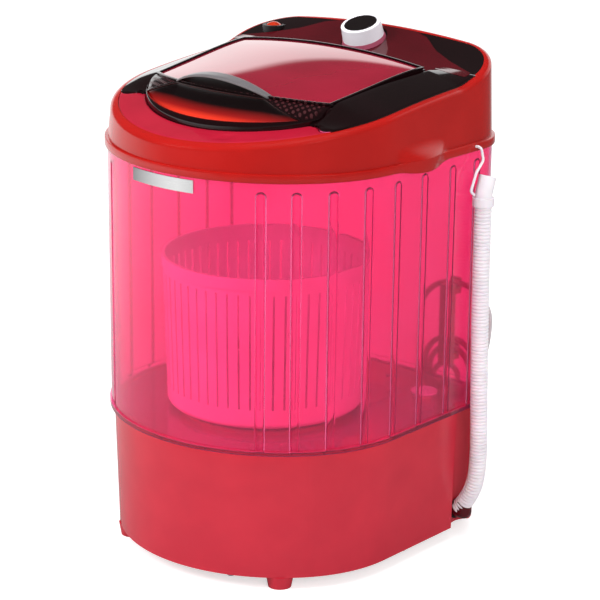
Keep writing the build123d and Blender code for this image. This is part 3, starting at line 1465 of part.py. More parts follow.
def make_spin_basket():
    """Slotted basket, and the hub that stands on the pulsator's."""
    bottom, top = BASKET_FLOOR_Z, BASKET_FLOOR_Z + BASKET_HEIGHT
    low, high, wall = BASKET_BOTTOM_RADIUS, BASKET_TOP_RADIUS - BASKET_RIM_PROUD, BASKET_WALL
    rim = top - BASKET_RIM_HEIGHT
    with BuildPart() as spin_basket:
        with BuildSketch(upright(0)) as profile:
            with BuildLine():
                Polyline(
                    (HUB_RADIUS + 1, bottom),
                    (low, bottom),
                    (high, rim),
                    (BASKET_TOP_RADIUS, rim),
                    (BASKET_TOP_RADIUS, top),
                    (high - wall, top),
                    (low - wall, bottom + BASKET_FLOOR),
                    (HUB_RADIUS + 1, bottom + BASKET_FLOOR),
                    close=True,
                )
            make_face()
            for x, z, radius in (
                (low, bottom, BASKET_EDGE_RADIUS),
                (low - wall, bottom + BASKET_FLOOR, BASKET_EDGE_RADIUS - wall),
            ):
                corner = profile.vertices().sort_by_distance((x, z, 0))[0]
                fillet(corner, radius)
        revolve(axis=Axis((0, AXIS_Y, 0), (0, 0, 1)))
        with BuildSketch(level(bottom + SLOT_FOOT)):
            with PolarLocations(0, SLOT_PAIRS, angular_range=180):
                Rectangle(3 * BASKET_TOP_RADIUS, SLOT_WIDTH)
        extrude(amount=BASKET_HEIGHT - SLOT_FOOT - SLOT_HEAD, mode=Mode.SUBTRACT)
    save(spin_basket, "spin_basket")

    with BuildPart() as basket_hub:
        add(rod(BASKET_HUB_RADIUS, bottom + BASKET_FLOOR, HUB_TOP + BODY_GAP + BASKET_FLOOR))
        fillet(basket_hub.edges().group_by(Axis.Z)[-1], BASKET_HUB_EDGE)
        add(rod(HUB_RADIUS + 1 - SEAT_GAP, bottom, bottom + BASKET_FLOOR + 1))
        add(rod(HUB_RADIUS + RUN_FIT, bottom - 1, HUB_TOP + BODY_GAP), mode=Mode.SUBTRACT)
    save(basket_hub, "basket_hub")


def make_capacitor():
    """Motor capacitor on the bottom cover, and its clamp."""
    x, y, floor = CAPACITOR_X, CAPACITOR_Y, FOOT_HEIGHT + COVER_THICKNESS
    with BuildPart() as capacitor:
        add(rod(CAPACITOR_RADIUS, floor, floor + CAPACITOR_HEIGHT, x, y))
        fillet(capacitor.edges(), CAPACITOR_EDGE)
        for offset in (-TERMINAL_OFFSET, TERMINAL_OFFSET):
            add(rod(TERMINAL_RADIUS, floor + 1, floor + CAPACITOR_HEIGHT + TERMINAL_HEIGHT, x + offset, y))
    save(capacitor, "capacitor")

    with BuildPart() as capacitor_clamp:
        inner = CAPACITOR_RADIUS + SEAT_GAP
        add(rod(inner + CLAMP_THICKNESS, floor, floor + CLAMP_HEIGHT, x, y))
        with BuildSketch(level(floor)):
            with Locations((x, y)):
                SlotOverall(CLAMP_LENGTH, CLAMP_WIDTH)
        extrude(amount=CLAMP_THICKNESS)
        add(rod(inner, floor - 1, floor + CLAMP_HEIGHT + 1, x, y), mode=Mode.SUBTRACT)
    save(capacitor_clamp, "capacitor_clamp")


def make_drain():
    """Strainer, drain pipe and the elbow that the hose fits on."""
    top, x, y = BASE_TOP - DRAIN_BOSS_DEPTH, DRAIN_X, AXIS_Y + DRAIN_Y
    outer = DRAIN_BORE + DRAIN_WALL
    with BuildPart() as drain_pipe:
        with BuildLine():
            FilletPolyline((x, y, top), (x, y, PIPE_Z), (PIPE_END_X, y, PIPE_Z), radius=PIPE_BEND)
        with BuildSketch(Plane((x, y, top), z_dir=(0, 0, -1))):
            Circle(outer)
            Circle(DRAIN_BORE, mode=Mode.SUBTRACT)
        sweep()
    save(drain_pipe, "drain_pipe")

    floor_top = BASE_TOP + TUB_FLOOR
    collar_bottom = floor_top - STRAINER_DEPTH
    with BuildPart() as drain_strainer:
        add(rod(STRAINER_RADIUS, floor_top, floor_top + STRAINER_THICKNESS, DRAIN_X, DRAIN_Y))
        add(rod(DRAIN_BORE - SEAT_GAP, collar_bottom, floor_top + 1, DRAIN_X, DRAIN_Y))
        add(
            rod(DRAIN_BORE - STRAINER_WALL, collar_bottom - 1, floor_top, DRAIN_X, DRAIN_Y),
            mode=Mode.SUBTRACT,
        )
        with BuildSketch(level(floor_top - 1)):
            with Locations((DRAIN_X, DRAIN_Y)):
                with PolarLocations(STRAINER_HOLE_CIRCLE, STRAINER_HOLES):
                    Circle(STRAINER_HOLE_RADIUS)
                Circle(STRAINER_HOLE_RADIUS)
        extrude(amount=2 * STRAINER_THICKNESS, mode=Mode.SUBTRACT)
    save(drain_strainer, "drain_strainer")

    elbow_x = HOSE_ROUTE[0][0]
    with BuildPart() as drain_gland:
        for radius, mode in ((ELBOW_RADIUS, Mode.ADD), (ELBOW_BORE, Mode.SUBTRACT)):
            with BuildSketch(Plane((PIPE_END_X, y, PIPE_Z), z_dir=(1, 0, 0))):
                Circle(radius)
            extrude(amount=elbow_x - PIPE_END_X, mode=mode)
            with BuildSketch(Plane((elbow_x, y, PIPE_Z), z_dir=(0, 0, 1))):
                Circle(radius)
            extrude(amount=ELBOW_TOP - PIPE_Z, mode=mode)
            with Locations((elbow_x, y, PIPE_Z)):
                Sphere(radius, mode=mode)
    save(drain_gland, "drain_gland")


def hose_path():
    """Middle line of the drain hose."""
    points = [(x, AXIS_Y + y, z) for x, y, z in HOSE_ROUTE]
    with BuildLine() as path:
        FilletPolyline(*points, radius=HOSE_BENDS)
    return path.wires()[0]


def make_drain_hose():
    """Ribbed hose from the elbow up the right side."""
    path = hose_path()
    straight = 2 * HOSE_RADIUS
    ribbed = path.length - 2 * straight
    pitch = ribbed / HOSE_RIBS
    stops = [(0.0, HOSE_ROOT_RADIUS)]
    for rib in range(HOSE_RIBS):
        start = straight + rib * pitch
        for share, radius in RIB_PROFILE:
            stops.append((start + share * pitch, radius))
    stops.append((path.length, HOSE_ROOT_RADIUS))
    with BuildPart() as drain_hose:
        for along, radius in stops:
            place = path.position_at(along, position_mode=PositionMode.LENGTH)
            heading = path.tangent_at(along, position_mode=PositionMode.LENGTH)
            with BuildSketch(Plane(place, x_dir=Vector(0, 1, 0).cross(heading), z_dir=heading)):
                Circle(radius)
        loft(ruled=True)
        with BuildSketch(Plane(path @ 0, x_dir=(1, 0, 0), z_dir=path % 0)):
            Circle(HOSE_BORE)
        sweep(path=path, mode=Mode.SUBTRACT)
    save(drain_hose, "drain_hose")
    print("hose length", round(path.length, 1), "rib pitch", round(pitch, 2))


def make_hose_nozzle():
    """Nozzle on the upper end of the hose."""
    x, y, z = HOSE_ROUTE[-1]
    lean = math.radians(NOZZLE_TILT)
    foot = Vector(x, AXIS_Y + y, z)
    bend = foot + Vector(0, 0, NOZZLE_COLLAR_LENGTH)
    tip = bend + Vector(0, math.sin(lean), math.cos(lean)) * NOZZLE_LENGTH
    with BuildPart() as hose_nozzle:
        with BuildLine():
            FilletPolyline(foot, bend, tip, radius=NOZZLE_BEND)
        with BuildSketch(Plane(foot)):
            Circle(NOZZLE_RADIUS)
        sweep()
        with BuildSketch(Plane(foot)):
            Circle(NOZZLE_COLLAR_RADIUS)
        extrude(amount=NOZZLE_COLLAR_LENGTH - NOZZLE_BEND * math.tan(lean / 2))
        with BuildLine():
            FilletPolyline(foot, bend, tip, radius=NOZZLE_BEND)
        with BuildSketch(Plane(foot)):
            Circle(NOZZLE_BORE)
        sweep(mode=Mode.SUBTRACT)
    save(hose_nozzle, "hose_nozzle")


def make_hose_hook():
    """Wire hook on the collar that keeps the hose upright."""
    root = (HALF_WIDTH - HOOK_ROOT_DEPTH, AXIS_Y + HOOK_ROOT_Y, HOOK_ROOT_Z)
    points = [root] + [(HOOK_PLANE_X, AXIS_Y + y, z) for y, z in HOOK_BENDS]
    with BuildPart() as hose_hook:
        with BuildLine():
            FilletPolyline(*points, radius=HOOK_BEND_RADII)
        with BuildSketch(Plane(root, z_dir=(1, 0, 0))):
            Circle(HOOK_WIRE_RADIUS)
        sweep()
    save(hose_hook, "hose_hook")


def make_cord_relief():
    """Strain relief of the mains lead, bent up along the back."""
    wall = BACK_DEPTH - wall_inset(FOOT_HEIGHT, BASE_BOTTOM_INSET, BASE_TOP, BASE_TOP_INSET, RELIEF_Z)
    start = (CORD_EXIT_X, AXIS_Y + CORD_PLANE, RELIEF_Z)
    with BuildPart() as cord_relief:
        with BuildSketch(upright(wall + BASE_WALL)):
            with Locations((CORD_EXIT_X, RELIEF_Z)):
                RectangleRounded(*RELIEF_PLATE, RELIEF_CORNER)
        extrude(amount=2 * BASE_WALL)
        add(
            frustum(BASE_BOTTOM_INSET - SEAT_GAP, FOOT_HEIGHT, BASE_TOP_INSET - SEAT_GAP, BASE_TOP),
            mode=Mode.SUBTRACT,
        )
        with BuildSketch(upright(CORD_PLANE)):
            with Locations((CORD_EXIT_X, RELIEF_Z)):
                Circle(RELIEF_RADIUS)
        extrude(amount=CORD_PLANE - wall + 2 * BASE_WALL)
        with BuildSketch(Plane(start)):
            Circle(RELIEF_RADIUS)
        with BuildSketch(Plane((start[0], start[1], RELIEF_TOP))):
            Circle(RELIEF_TIP_RADIUS)
        loft(ruled=True)
        with Locations(start):
            Sphere(RELIEF_RADIUS)
    save(cord_relief, "cord_relief")


def make_power_cord():
    """Tail of the lead between the relief and the hung loops."""
    with BuildPart() as power_cord:
        with BuildSketch(Plane((CORD_EXIT_X, AXIS_Y + CORD_PLANE, RELIEF_TOP))):
            Circle(CORD_RADIUS)
        extrude(amount=TAIL_TOP - RELIEF_TOP)
    save(power_cord, "power_cord")


def hank_path():
    """Middle line of the hung cord: loops that wind inwards, then a hook down to the plug."""
    left, right, step = CORD_EXIT_X, LOOP_RIGHT_X, LOOP_PITCH
    here = (left, TAIL_TOP)
    with BuildLine(upright(CORD_PLANE)) as path:
        for top, bottom in zip(LOOP_TOPS, LOOP_BOTTOMS):
            radius = (right - left) / 2
            Line(here, (left, top - radius))
            ThreePointArc((left, top - radius), (left + radius, top), (right, top - radius))
            next_left = left + step
            low = (right - next_left) / 2
            Line((right, top - radius), (right, bottom + low))
            ThreePointArc((right, bottom + low), (next_left + low, bottom), (next_left, bottom + low))
            here = (next_left, bottom + low)
            left, right = next_left, right - step
        high = LAST_TOP_Z - LAST_RADIUS
        Line(here, (left, high))
        ThreePointArc((left, high), (left + LAST_RADIUS, LAST_TOP_Z), (left + 2 * LAST_RADIUS, high))
        Line((left + 2 * LAST_RADIUS, high), (left + 2 * LAST_RADIUS, PLUG_Z))
    return path.wires()[0]


def least_gap(path, radius):
    """Least gap between the turns of a tube, from points along its middle line."""
    count = int(path.length / 2)
    points = [path.position_at(i / count) for i in range(count + 1)]
    skip = int(3 * math.pi * radius / (path.length / count))
    apart = min(
        (points[i] - points[j]).length for i in range(count + 1) for j in range(i + skip, count + 1)
    )
    return apart - 2 * radius


def make_cord_hank():
    """Loops of the lead, hung behind the back wall."""
    path = hank_path()
    with BuildPart() as cord_hank:
        with BuildSketch(Plane(path @ 0, x_dir=(1, 0, 0), z_dir=(0, 0, 1))):
            Circle(CORD_RADIUS)
        sweep(path=path)
    save(cord_hank, "cord_hank")
    print("hank length", round(path.length, 1), "least gap", round(least_gap(path, CORD_RADIUS), 2))
    section = math.pi * CORD_RADIUS**2 * path.length
    print("hank volume over section times length", round(cord_hank.part.volume / section, 3))


def make_cord_cleat():
    """Bracket on the back wall with two pegs for the loops."""
    low, high = CLEAT_SPAN
    front = CORD_PLANE - CORD_RADIUS - CLEAT_GAP
    back = CORD_PLANE + CORD_RADIUS + CLEAT_GAP
    root = BACK_DEPTH - 2 * TUB_BOTTOM_INSET
    with BuildPart() as cord_cleat:
        with BuildSketch(sideways(CLEAT_X - CLEAT_WIDTH / 2)):
            with Locations(((root + front) / 2, (low + high) / 2)):
                Rectangle(front - root, high - low)
            for loop_top in (LOOP_TOPS[0], LOOP_TOPS[-1]):
                peg = loop_top - 2 * CORD_RADIUS - CLEAT_GAP
                with Locations(((front + back) / 2, peg - CLEAT_PEG_HEIGHT / 2)):
                    Rectangle(back - front, CLEAT_PEG_HEIGHT)
                with Locations((back + CLEAT_THICKNESS / 2, peg - CLEAT_PEG_HEIGHT + CLEAT_LIP)):
                    Rectangle(CLEAT_THICKNESS, 2 * CLEAT_LIP)
        extrude(amount=CLEAT_WIDTH)
        add(
            frustum(TUB_BOTTOM_INSET - SEAT_GAP, BASE_TOP, TUB_TOP_INSET - SEAT_GAP, TUB_TOP),
            mode=Mode.SUBTRACT,
        )
    save(cord_cleat, "cord_cleat")


def make_power_plug():
    """Round plug with two pins."""
    x = CORD_EXIT_X + len(LOOP_TOPS) * LOOP_PITCH + 2 * LAST_RADIUS
    y = AXIS_Y + CORD_PLANE
    shoulder = PLUG_Z - PLUG_NECK_LENGTH
    foot = PLUG_Z - PLUG_LENGTH
    with BuildPart() as power_plug:
        with BuildSketch(Plane((x, y, PLUG_Z))):
            Circle(PLUG_NECK_RADIUS)
        with BuildSketch(Plane((x, y, shoulder))):
            Circle(PLUG_SHOULDER_RADIUS)
        loft(ruled=True)
        with BuildSketch(Plane((x, y, shoulder))):
            Circle(PLUG_SHOULDER_RADIUS)
        with BuildSketch(Plane((x, y, foot + PLUG_FACE_DEPTH))):
            Circle(PLUG_RADIUS)
        loft(ruled=True)
        with BuildSketch(Plane((x, y, foot))):
            Circle(PLUG_RADIUS)
        extrude(amount=PLUG_FACE_DEPTH)
    save(power_plug, "power_plug")

    with BuildPart() as plug_pins:
        for side in (1, -1):
            with BuildSketch(Plane((x + side * PLUG_PIN_SPACING / 2, y, foot - PLUG_PIN_LENGTH))):
                Circle(PLUG_PIN_RADIUS)
            extrude(amount=PLUG_PIN_LENGTH)
        fillet(plug_pins.edges().group_by(Axis.Z)[0], PLUG_PIN_RADIUS / 2)
    save(plug_pins, "plug_pins")


def main():
    """Build every piece."""
    makers = (
        make_base_housing,
        make_bottom_cover,
        make_feet,
        make_tub,
        make_collar,
        make_collar_seal,
        make_badge_plate,
        make_deck,
        make_front_sill,
        make_control_panel,
        make_lid_frame,
        make_lid_window,
        make_lid_scoop,
        make_lid_handle,
        make_hinge_pins,
        make_timer,
        make_timer_knob,
        make_inlet,
        make_motor,
        make_drive,
        make_bearings,
        make_pulsator,
        make_spin_basket,
        make_capacitor,
        make_drain,
        make_drain_hose,
        make_hose_nozzle,
        make_hose_hook,
        make_cord_relief,
        make_power_cord,
        make_cord_hank,
        make_cord_cleat,
        make_power_plug,
    )
    for maker in makers:
        maker()


if __name__ == "__main__":
    main()
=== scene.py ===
"""Small semi-automatic washer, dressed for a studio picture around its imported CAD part.

Every length is in millimetres and every y is measured from the axis of the wash tub, as in the part's drawing;
place() moves a finished shape into the row frame, in metres.
"""

from __future__ import annotations

import logging
import math
from dataclasses import dataclass
from enum import Enum

import bmesh
import bpy
import numpy as np
from mathutils import Matrix, Vector

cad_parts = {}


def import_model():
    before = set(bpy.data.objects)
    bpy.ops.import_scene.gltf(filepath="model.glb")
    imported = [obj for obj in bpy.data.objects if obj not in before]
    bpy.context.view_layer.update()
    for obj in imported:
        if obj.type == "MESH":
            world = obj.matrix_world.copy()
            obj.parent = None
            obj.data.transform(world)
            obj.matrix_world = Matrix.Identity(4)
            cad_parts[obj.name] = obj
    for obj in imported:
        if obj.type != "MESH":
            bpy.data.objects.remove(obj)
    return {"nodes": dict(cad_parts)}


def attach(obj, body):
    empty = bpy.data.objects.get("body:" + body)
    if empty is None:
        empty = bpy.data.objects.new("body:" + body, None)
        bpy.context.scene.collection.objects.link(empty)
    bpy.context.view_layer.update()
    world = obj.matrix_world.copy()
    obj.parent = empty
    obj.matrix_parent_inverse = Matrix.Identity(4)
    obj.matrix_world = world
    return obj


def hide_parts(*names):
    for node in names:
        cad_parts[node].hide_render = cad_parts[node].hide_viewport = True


LOG = logging.getLogger("washer")
MM = 0.001
AXIS_Y = -29.35
SEAM_INSET = 15.0  # from the casing's edge in to the seam between collar and deck
SEAM_LAP = 0.1  # deck and sill reach this far into the seam wall
MERGE = 2e-6  # points nearer than this, in metres, become one
SLIVER = 1e-6  # edges shorter than this, in metres, go
BELOW = (0.0, 0.0, 400.0)  # a point under the lid, on the hidden side of its skins
WHITE = (1.0, 1.0, 1.0, 1.0)

Finishes = dict[str, bpy.types.Material]
Pair = tuple[float, float]
Spot = tuple[float, float, float]
Tree = bpy.types.NodeTree
Socket = bpy.types.NodeSocket


class Lay(Enum):
    """Whether a shape's grids enclose a volume or make one open skin."""

    CLOSED = "closed"
    OPEN = "open"


# Numbers and curves


def smooth_step(low: float, high: float, value: np.ndarray) -> np.ndarray:
    """0 below low, 1 above high, and three t squared minus two t cubed between them."""
    t = np.clip((value - low) / (high - low), 0.0, 1.0)
    return t * t * (3.0 - 2.0 * t)


def soft_min(a: np.ndarray, b: np.ndarray, radius: float) -> np.ndarray:
    """The smaller of a and b, with the corner between them rounded over about one radius.

    Where the two differ by less than the radius, a quarter of (radius - difference) squared over the radius comes off.
    """
    near = np.clip(radius - np.abs(a - b), 0.0, None)
    return np.minimum(a, b) - near * near / (4.0 * radius)


def through(stations: tuple[float, ...], values: tuple[float, ...], at: np.ndarray) -> np.ndarray:
    """The polynomial that passes through every given value, evaluated at the given places."""
    return np.polyval(np.polyfit(stations, values, len(stations) - 1), at)


def crown(x: np.ndarray, edge: np.ndarray, middle: np.ndarray, half: float) -> np.ndarray:
    """Height of a circular arc over x that has height edge at plus and minus half, and middle at nought.

    The radius is (half squared + rise squared) over twice the rise, and the arc drops from the middle by
    radius - sqrt(radius squared - x squared).
    """
    rise = middle - edge
    radius = (half * half + rise * rise) / (2.0 * rise)
    return middle - (radius - np.sqrt(np.clip(radius * radius - x * x, 0.0, None)))


def arc_front(x: np.ndarray, corner: Pair, depth: float) -> np.ndarray:
    """Plan y of the arc that runs through both corners (plus and minus x, y) and (0, -depth)."""
    sag = depth + corner[1]
    radius = (corner[0] ** 2 + sag * sag) / (2.0 * sag)
    return radius - depth - np.sqrt(radius * radius - x * x)


def bow(half: float, ends: float, peak: float, at: np.ndarray) -> np.ndarray:
    """Height of a circular arch that stands at ends where at is plus or minus half, and at peak in the middle."""
    return crown(at, np.full_like(at, ends), np.full_like(at, peak), half)


# Shapes and pieces


@dataclass
class Grid:
    """Points of one surface, rows by columns by three, joined into four-sided faces."""

    points: np.ndarray
    wrap_rows: bool = False
    wrap_columns: bool = False
    holes: np.ndarray | None = None

    def faces(self, start: int) -> np.ndarray:
        """Corner numbers of every face, counted from start.

        Args:
            start: number of the grid's first point in the mesh.

        Returns:
            Array of faces by four.
        """
        rows, columns = self.points.shape[:2]
        number = np.arange(rows * columns).reshape(rows, columns) + start
        if self.wrap_rows:
            number = np.vstack([number, number[:1]])
        if self.wrap_columns:
            number = np.hstack([number, number[:, :1]])
        quads = np.stack([number[:-1, :-1], number[1:, :-1], number[1:, 1:], number[:-1, 1:]], axis=-1)
        if self.holes is not None:
            quads = quads[~self.holes]
        return quads.reshape(-1, 4)


def place(points: np.ndarray) -> np.ndarray:
    """Points from the tub axis in millimetres, moved to the row frame in metres."""
    return (points + np.array([0.0, AXIS_Y, 0.0])) * MM


def unplace(points: np.ndarray) -> np.ndarray:
    """Points of the row frame in metres, back to millimetres from the tub axis."""
    return points / MM - np.array([0.0, AXIS_Y, 0.0])


def points_of(x: np.ndarray | float, y: np.ndarray | float, z: np.ndarray | float) -> np.ndarray:
    """Points from x, y and z, each stretched to the shape that the three have together."""
    return np.stack(np.broadcast_arrays(x, y, z), axis=-1)


def outward_sum(vertices: np.ndarray, faces: np.ndarray, inside: np.ndarray) -> float:
    """Sum over all faces of the volume of the pyramid from a point inside, negative where faces look inwards."""
    a, b, c, d = (vertices[faces[:, k]] - inside for k in range(4))
    return float(np.sum(np.einsum("ij,ij->i", a, np.cross(b, c)) + np.einsum("ij,ij->i", a, np.cross(c, d))))


def new_object(name: str, data: bpy.types.ID) -> bpy.types.Object:
    """An object in the scene for a mesh, a camera or a lamp."""
    made = bpy.data.objects.new(name, data)
    bpy.context.scene.collection.objects.link(made)
    return made


def make_piece(
    name: str,
    grids: list[Grid],
    lay: Lay = Lay.CLOSED,
    inside: Spot | None = None,
    wall: float = 0.0,
    sharp: float = 38.0,
    parts: bool = False,
) -> bpy.types.Object:
    """Turn grids into one mesh object at the origin, faces outwards, doubles merged.

    Args:
        name: name of the piece.
        grids: its surfaces, in millimetres from the tub axis.
        lay: whether the grids enclose a volume.
        inside: a point on the hidden side of an open skin.
        wall: thickness that an open skin gets towards its hidden side.
        sharp: angle in degrees above which an edge stays sharp.
        parts: each grid is a closed shape of its own, and is turned outwards by itself.

    Returns:
        The object, linked to the scene.
    """
    chunks, faces, start = [], [], 0
    for grid in grids:
        chunk = place(grid.points.reshape(-1, 3))
        own = grid.faces(0)
        if parts and outward_sum(chunk, own, chunk.mean(axis=0)) < 0.0:
            own = own[:, ::-1]
        faces.append(own + start)
        chunks.append(chunk)
        start += len(chunk)
    vertices, quads = np.vstack(chunks), np.vstack(faces)
    if not parts:
        centre = vertices.mean(axis=0) if inside is None else place(np.array(inside, float))
        if outward_sum(vertices, quads, centre) < 0.0:
            quads = quads[:, ::-1]
    mesh = bpy.data.meshes.new(name)
    mesh.from_pydata(vertices, [], quads)
    work = bmesh.new()
    work.from_mesh(mesh)
    bmesh.ops.remove_doubles(work, verts=work.verts, dist=MERGE)
    bmesh.ops.dissolve_degenerate(work, edges=work.edges, dist=SLIVER)
    work.to_mesh(mesh)
    work.free()
    mesh.shade_smooth()
    mesh.set_sharp_from_angle(angle=math.radians(sharp))
    piece = new_object(name, mesh)
    if lay is Lay.OPEN and wall > 0.0:
        thicken(piece, wall)
    return piece


def thicken(piece: bpy.types.Object, wall: float) -> None:
    """Give an open skin a wall in millimetres, on its hidden side."""
    solid = piece.modifiers.new("wall", "SOLIDIFY")
    solid.thickness = wall * MM
    solid.offset = -1.0


def round_edges(piece: bpy.types.Object, width: float, segments: int = 3, angle: float = 40.0) -> None:
    """Round the sharp edges of a piece over a width in millimetres."""
    bevel = piece.modifiers.new("edges", "BEVEL")
    bevel.width = width * MM
    bevel.segments = segments
    bevel.limit_method = "ANGLE"
    bevel.angle_limit = math.radians(angle)
    bevel.harden_normals = True


def finish_piece(piece: bpy.types.Object, material: bpy.types.Material, body: str, slot: str, *nodes: str) -> None:
    """Paint a piece, hang it on its body, and hide the CAD nodes that it stands for."""
    piece.data.materials.clear()
    piece.data.materials.append(material)
    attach(piece, body)
    if nodes:
        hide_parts(*nodes)
    LOG.info("%s rides on %s", piece.name, body)


def tube_along(path: np.ndarray, radii: np.ndarray, count: int = 24) -> Grid:
    """Round tube along a path, with a radius for each of its points and closed ends.

    The ring at each point is the point + radius times (cosine u + sine v), where u and v are square to the path; u
    starts level and is carried along by taking out its part along each new heading.
    """
    heading = np.gradient(path, axis=0)
    heading /= np.linalg.norm(heading, axis=1)[:, None]
    first = np.cross(heading[0], [0.0, 1.0, 0.0])
    if np.linalg.norm(first) < 0.1:
        first = np.cross(heading[0], [1.0, 0.0, 0.0])
    across = np.empty_like(path)
    carried = first / np.linalg.norm(first)
    for step, ahead in enumerate(heading):
        carried = carried - ahead * (carried @ ahead)
        carried /= np.linalg.norm(carried)
        across[step] = carried
    over = np.cross(heading, across)
    angle = np.linspace(0.0, 2.0 * math.pi, count, endpoint=False)
    cos, sin = np.cos(angle)[None, :, None], np.sin(angle)[None, :, None]
    ring = across[:, None, :] * cos + over[:, None, :] * sin
    body = path[:, None, :] + ring * radii[:, None, None]
    ends = [np.repeat(path[k][None, None, :], count, axis=1) for k in (0, -1)]
    return Grid(np.concatenate([ends[0], body, ends[1]], axis=0), wrap_columns=True)


def spline_points(name: str, route: tuple[Spot, ...]) -> np.ndarray:
    """Points along the smooth curve whose control points are the route.

    Args:
        name: name of the curve, which is not linked to the scene.
        route: control points from the tub axis, in millimetres.

    Returns:
        Points in metres in the row frame.
    """
    data = bpy.data.curves.new(name, "CURVE")
    data.dimensions = "3D"
    data.resolution_u = 16
    spline = data.splines.new("NURBS")
    spline.points.add(len(route) - 1)
    for point, spot in zip(spline.points, place(np.array(route, float))):
        point.co = (*spot, 1.0)
    spline.order_u = 3
    spline.use_endpoint_u = True
    curve = bpy.data.objects.new(name, data)
    mesh = bpy.data.meshes.new_from_object(curve)
    line = np.empty(len(mesh.vertices) * 3)
    mesh.vertices.foreach_get("co", line)
    bpy.data.meshes.remove(mesh)
    return line.reshape(-1, 3)


def even_path(line: np.ndarray, count: int) -> tuple[np.ndarray, float]:
    """Points at equal steps along a line of points, and the line's length."""
    steps = np.linalg.norm(np.diff(line, axis=0), axis=1)
    along = np.concatenate([[0.0], np.cumsum(steps)])
    wanted = np.linspace(0.0, along[-1], count)
    return np.stack([np.interp(wanted, along, line[:, k]) for k in range(3)], axis=-1), float(along[-1])


# The casing seen from above


@dataclass(frozen=True)
class CasingPlan:
    """The D-shaped plan of the casing: a three-centred front, straight sides and rounded rear corners."""

    half_width: float = 181.0
    front: float = 165.0
    back: float = 206.0
    side_centre: float = 30.0
    corner: float = 64.0

    @property
    def side_radius(self) -> float:
        """Radius of the arcs between the front and the sides."""
        return self.half_width - self.side_centre

    @property
    def front_radius(self) -> float:
        """Radius of the front arc, tangent to both side arcs."""
        squares = self.front**2 + self.side_centre**2 - self.side_radius**2
        return squares / (2.0 * (self.front - self.side_radius))

    @property
    def front_span(self) -> float:
        """Angle from the middle of the front to the end of the front arc."""
        return math.atan2(self.side_centre, self.front_radius - self.front)

    def breaks(self) -> np.ndarray:
        """Distances round the plan, from the middle of the front, at which each arc or straight begins."""
        lengths = (
            self.front_radius * self.front_span,
            self.side_radius * (math.pi / 2.0 - self.front_span),
            self.back - self.corner,
            self.corner * math.pi / 2.0,
            self.half_width - self.corner,
        )
        return np.concatenate([[0.0], np.cumsum(lengths)])

    @property
    def half_round(self) -> float:
        """Distance from the middle of the front to the middle of the back."""
        return float(self.breaks()[-1])

    def at(self, station: np.ndarray, inset: np.ndarray | float) -> tuple[np.ndarray, np.ndarray]:
        """Plan x and y at stations round the casing, moved in by an inset square to the edge.

        Each part of the edge is centre + radius times its outward direction, and the inset is taken along that
        direction, so the inset plan is parallel to the edge.

        Args:
            station: distance round the outer edge from the middle of the front, positive to the right.
            inset: distance in from the outer edge.

        Returns:
            The x and the y values.
        """
        span, radius, breaks = self.front_span, self.front_radius, self.breaks()
        run = np.clip(np.abs(station), 0.0, breaks[-1])
        part = np.clip(np.searchsorted(breaks, run, side="right") - 1, 0, 4)
        past, quarter = run - breaks[part], math.pi / 2.0
        here = [part == 0, part == 1, part == 2, part == 3]
        turns = [past / radius, span + past / self.side_radius, quarter, quarter + past / self.corner]
        turn = np.select(here, turns, math.pi)
        out_x, out_y = np.sin(turn), -np.cos(turn)
        flank, rear = self.half_width - self.corner, self.back - self.corner
        side_x, straight = self.side_centre + self.side_radius * out_x, np.full_like(run, self.half_width)
        x = np.select(here, [radius * out_x, side_x, straight, flank + self.corner * out_x], flank - past)
        front_y = radius - self.front + radius * out_y
        y = np.select(here, [front_y, self.side_radius * out_y, past, rear + self.corner * out_y], self.back)
        return np.sign(station) * (x - inset * out_x), y - inset * out_y

    def stations(self, step: float = 5.0) -> np.ndarray:
        """Stations all round, about a step apart, the last one step before the first."""
        count = int(round(2.0 * self.half_round / step))
        return np.linspace(-self.half_round, self.half_round, count, endpoint=False) + 1e-6


PLAN = CasingPlan()


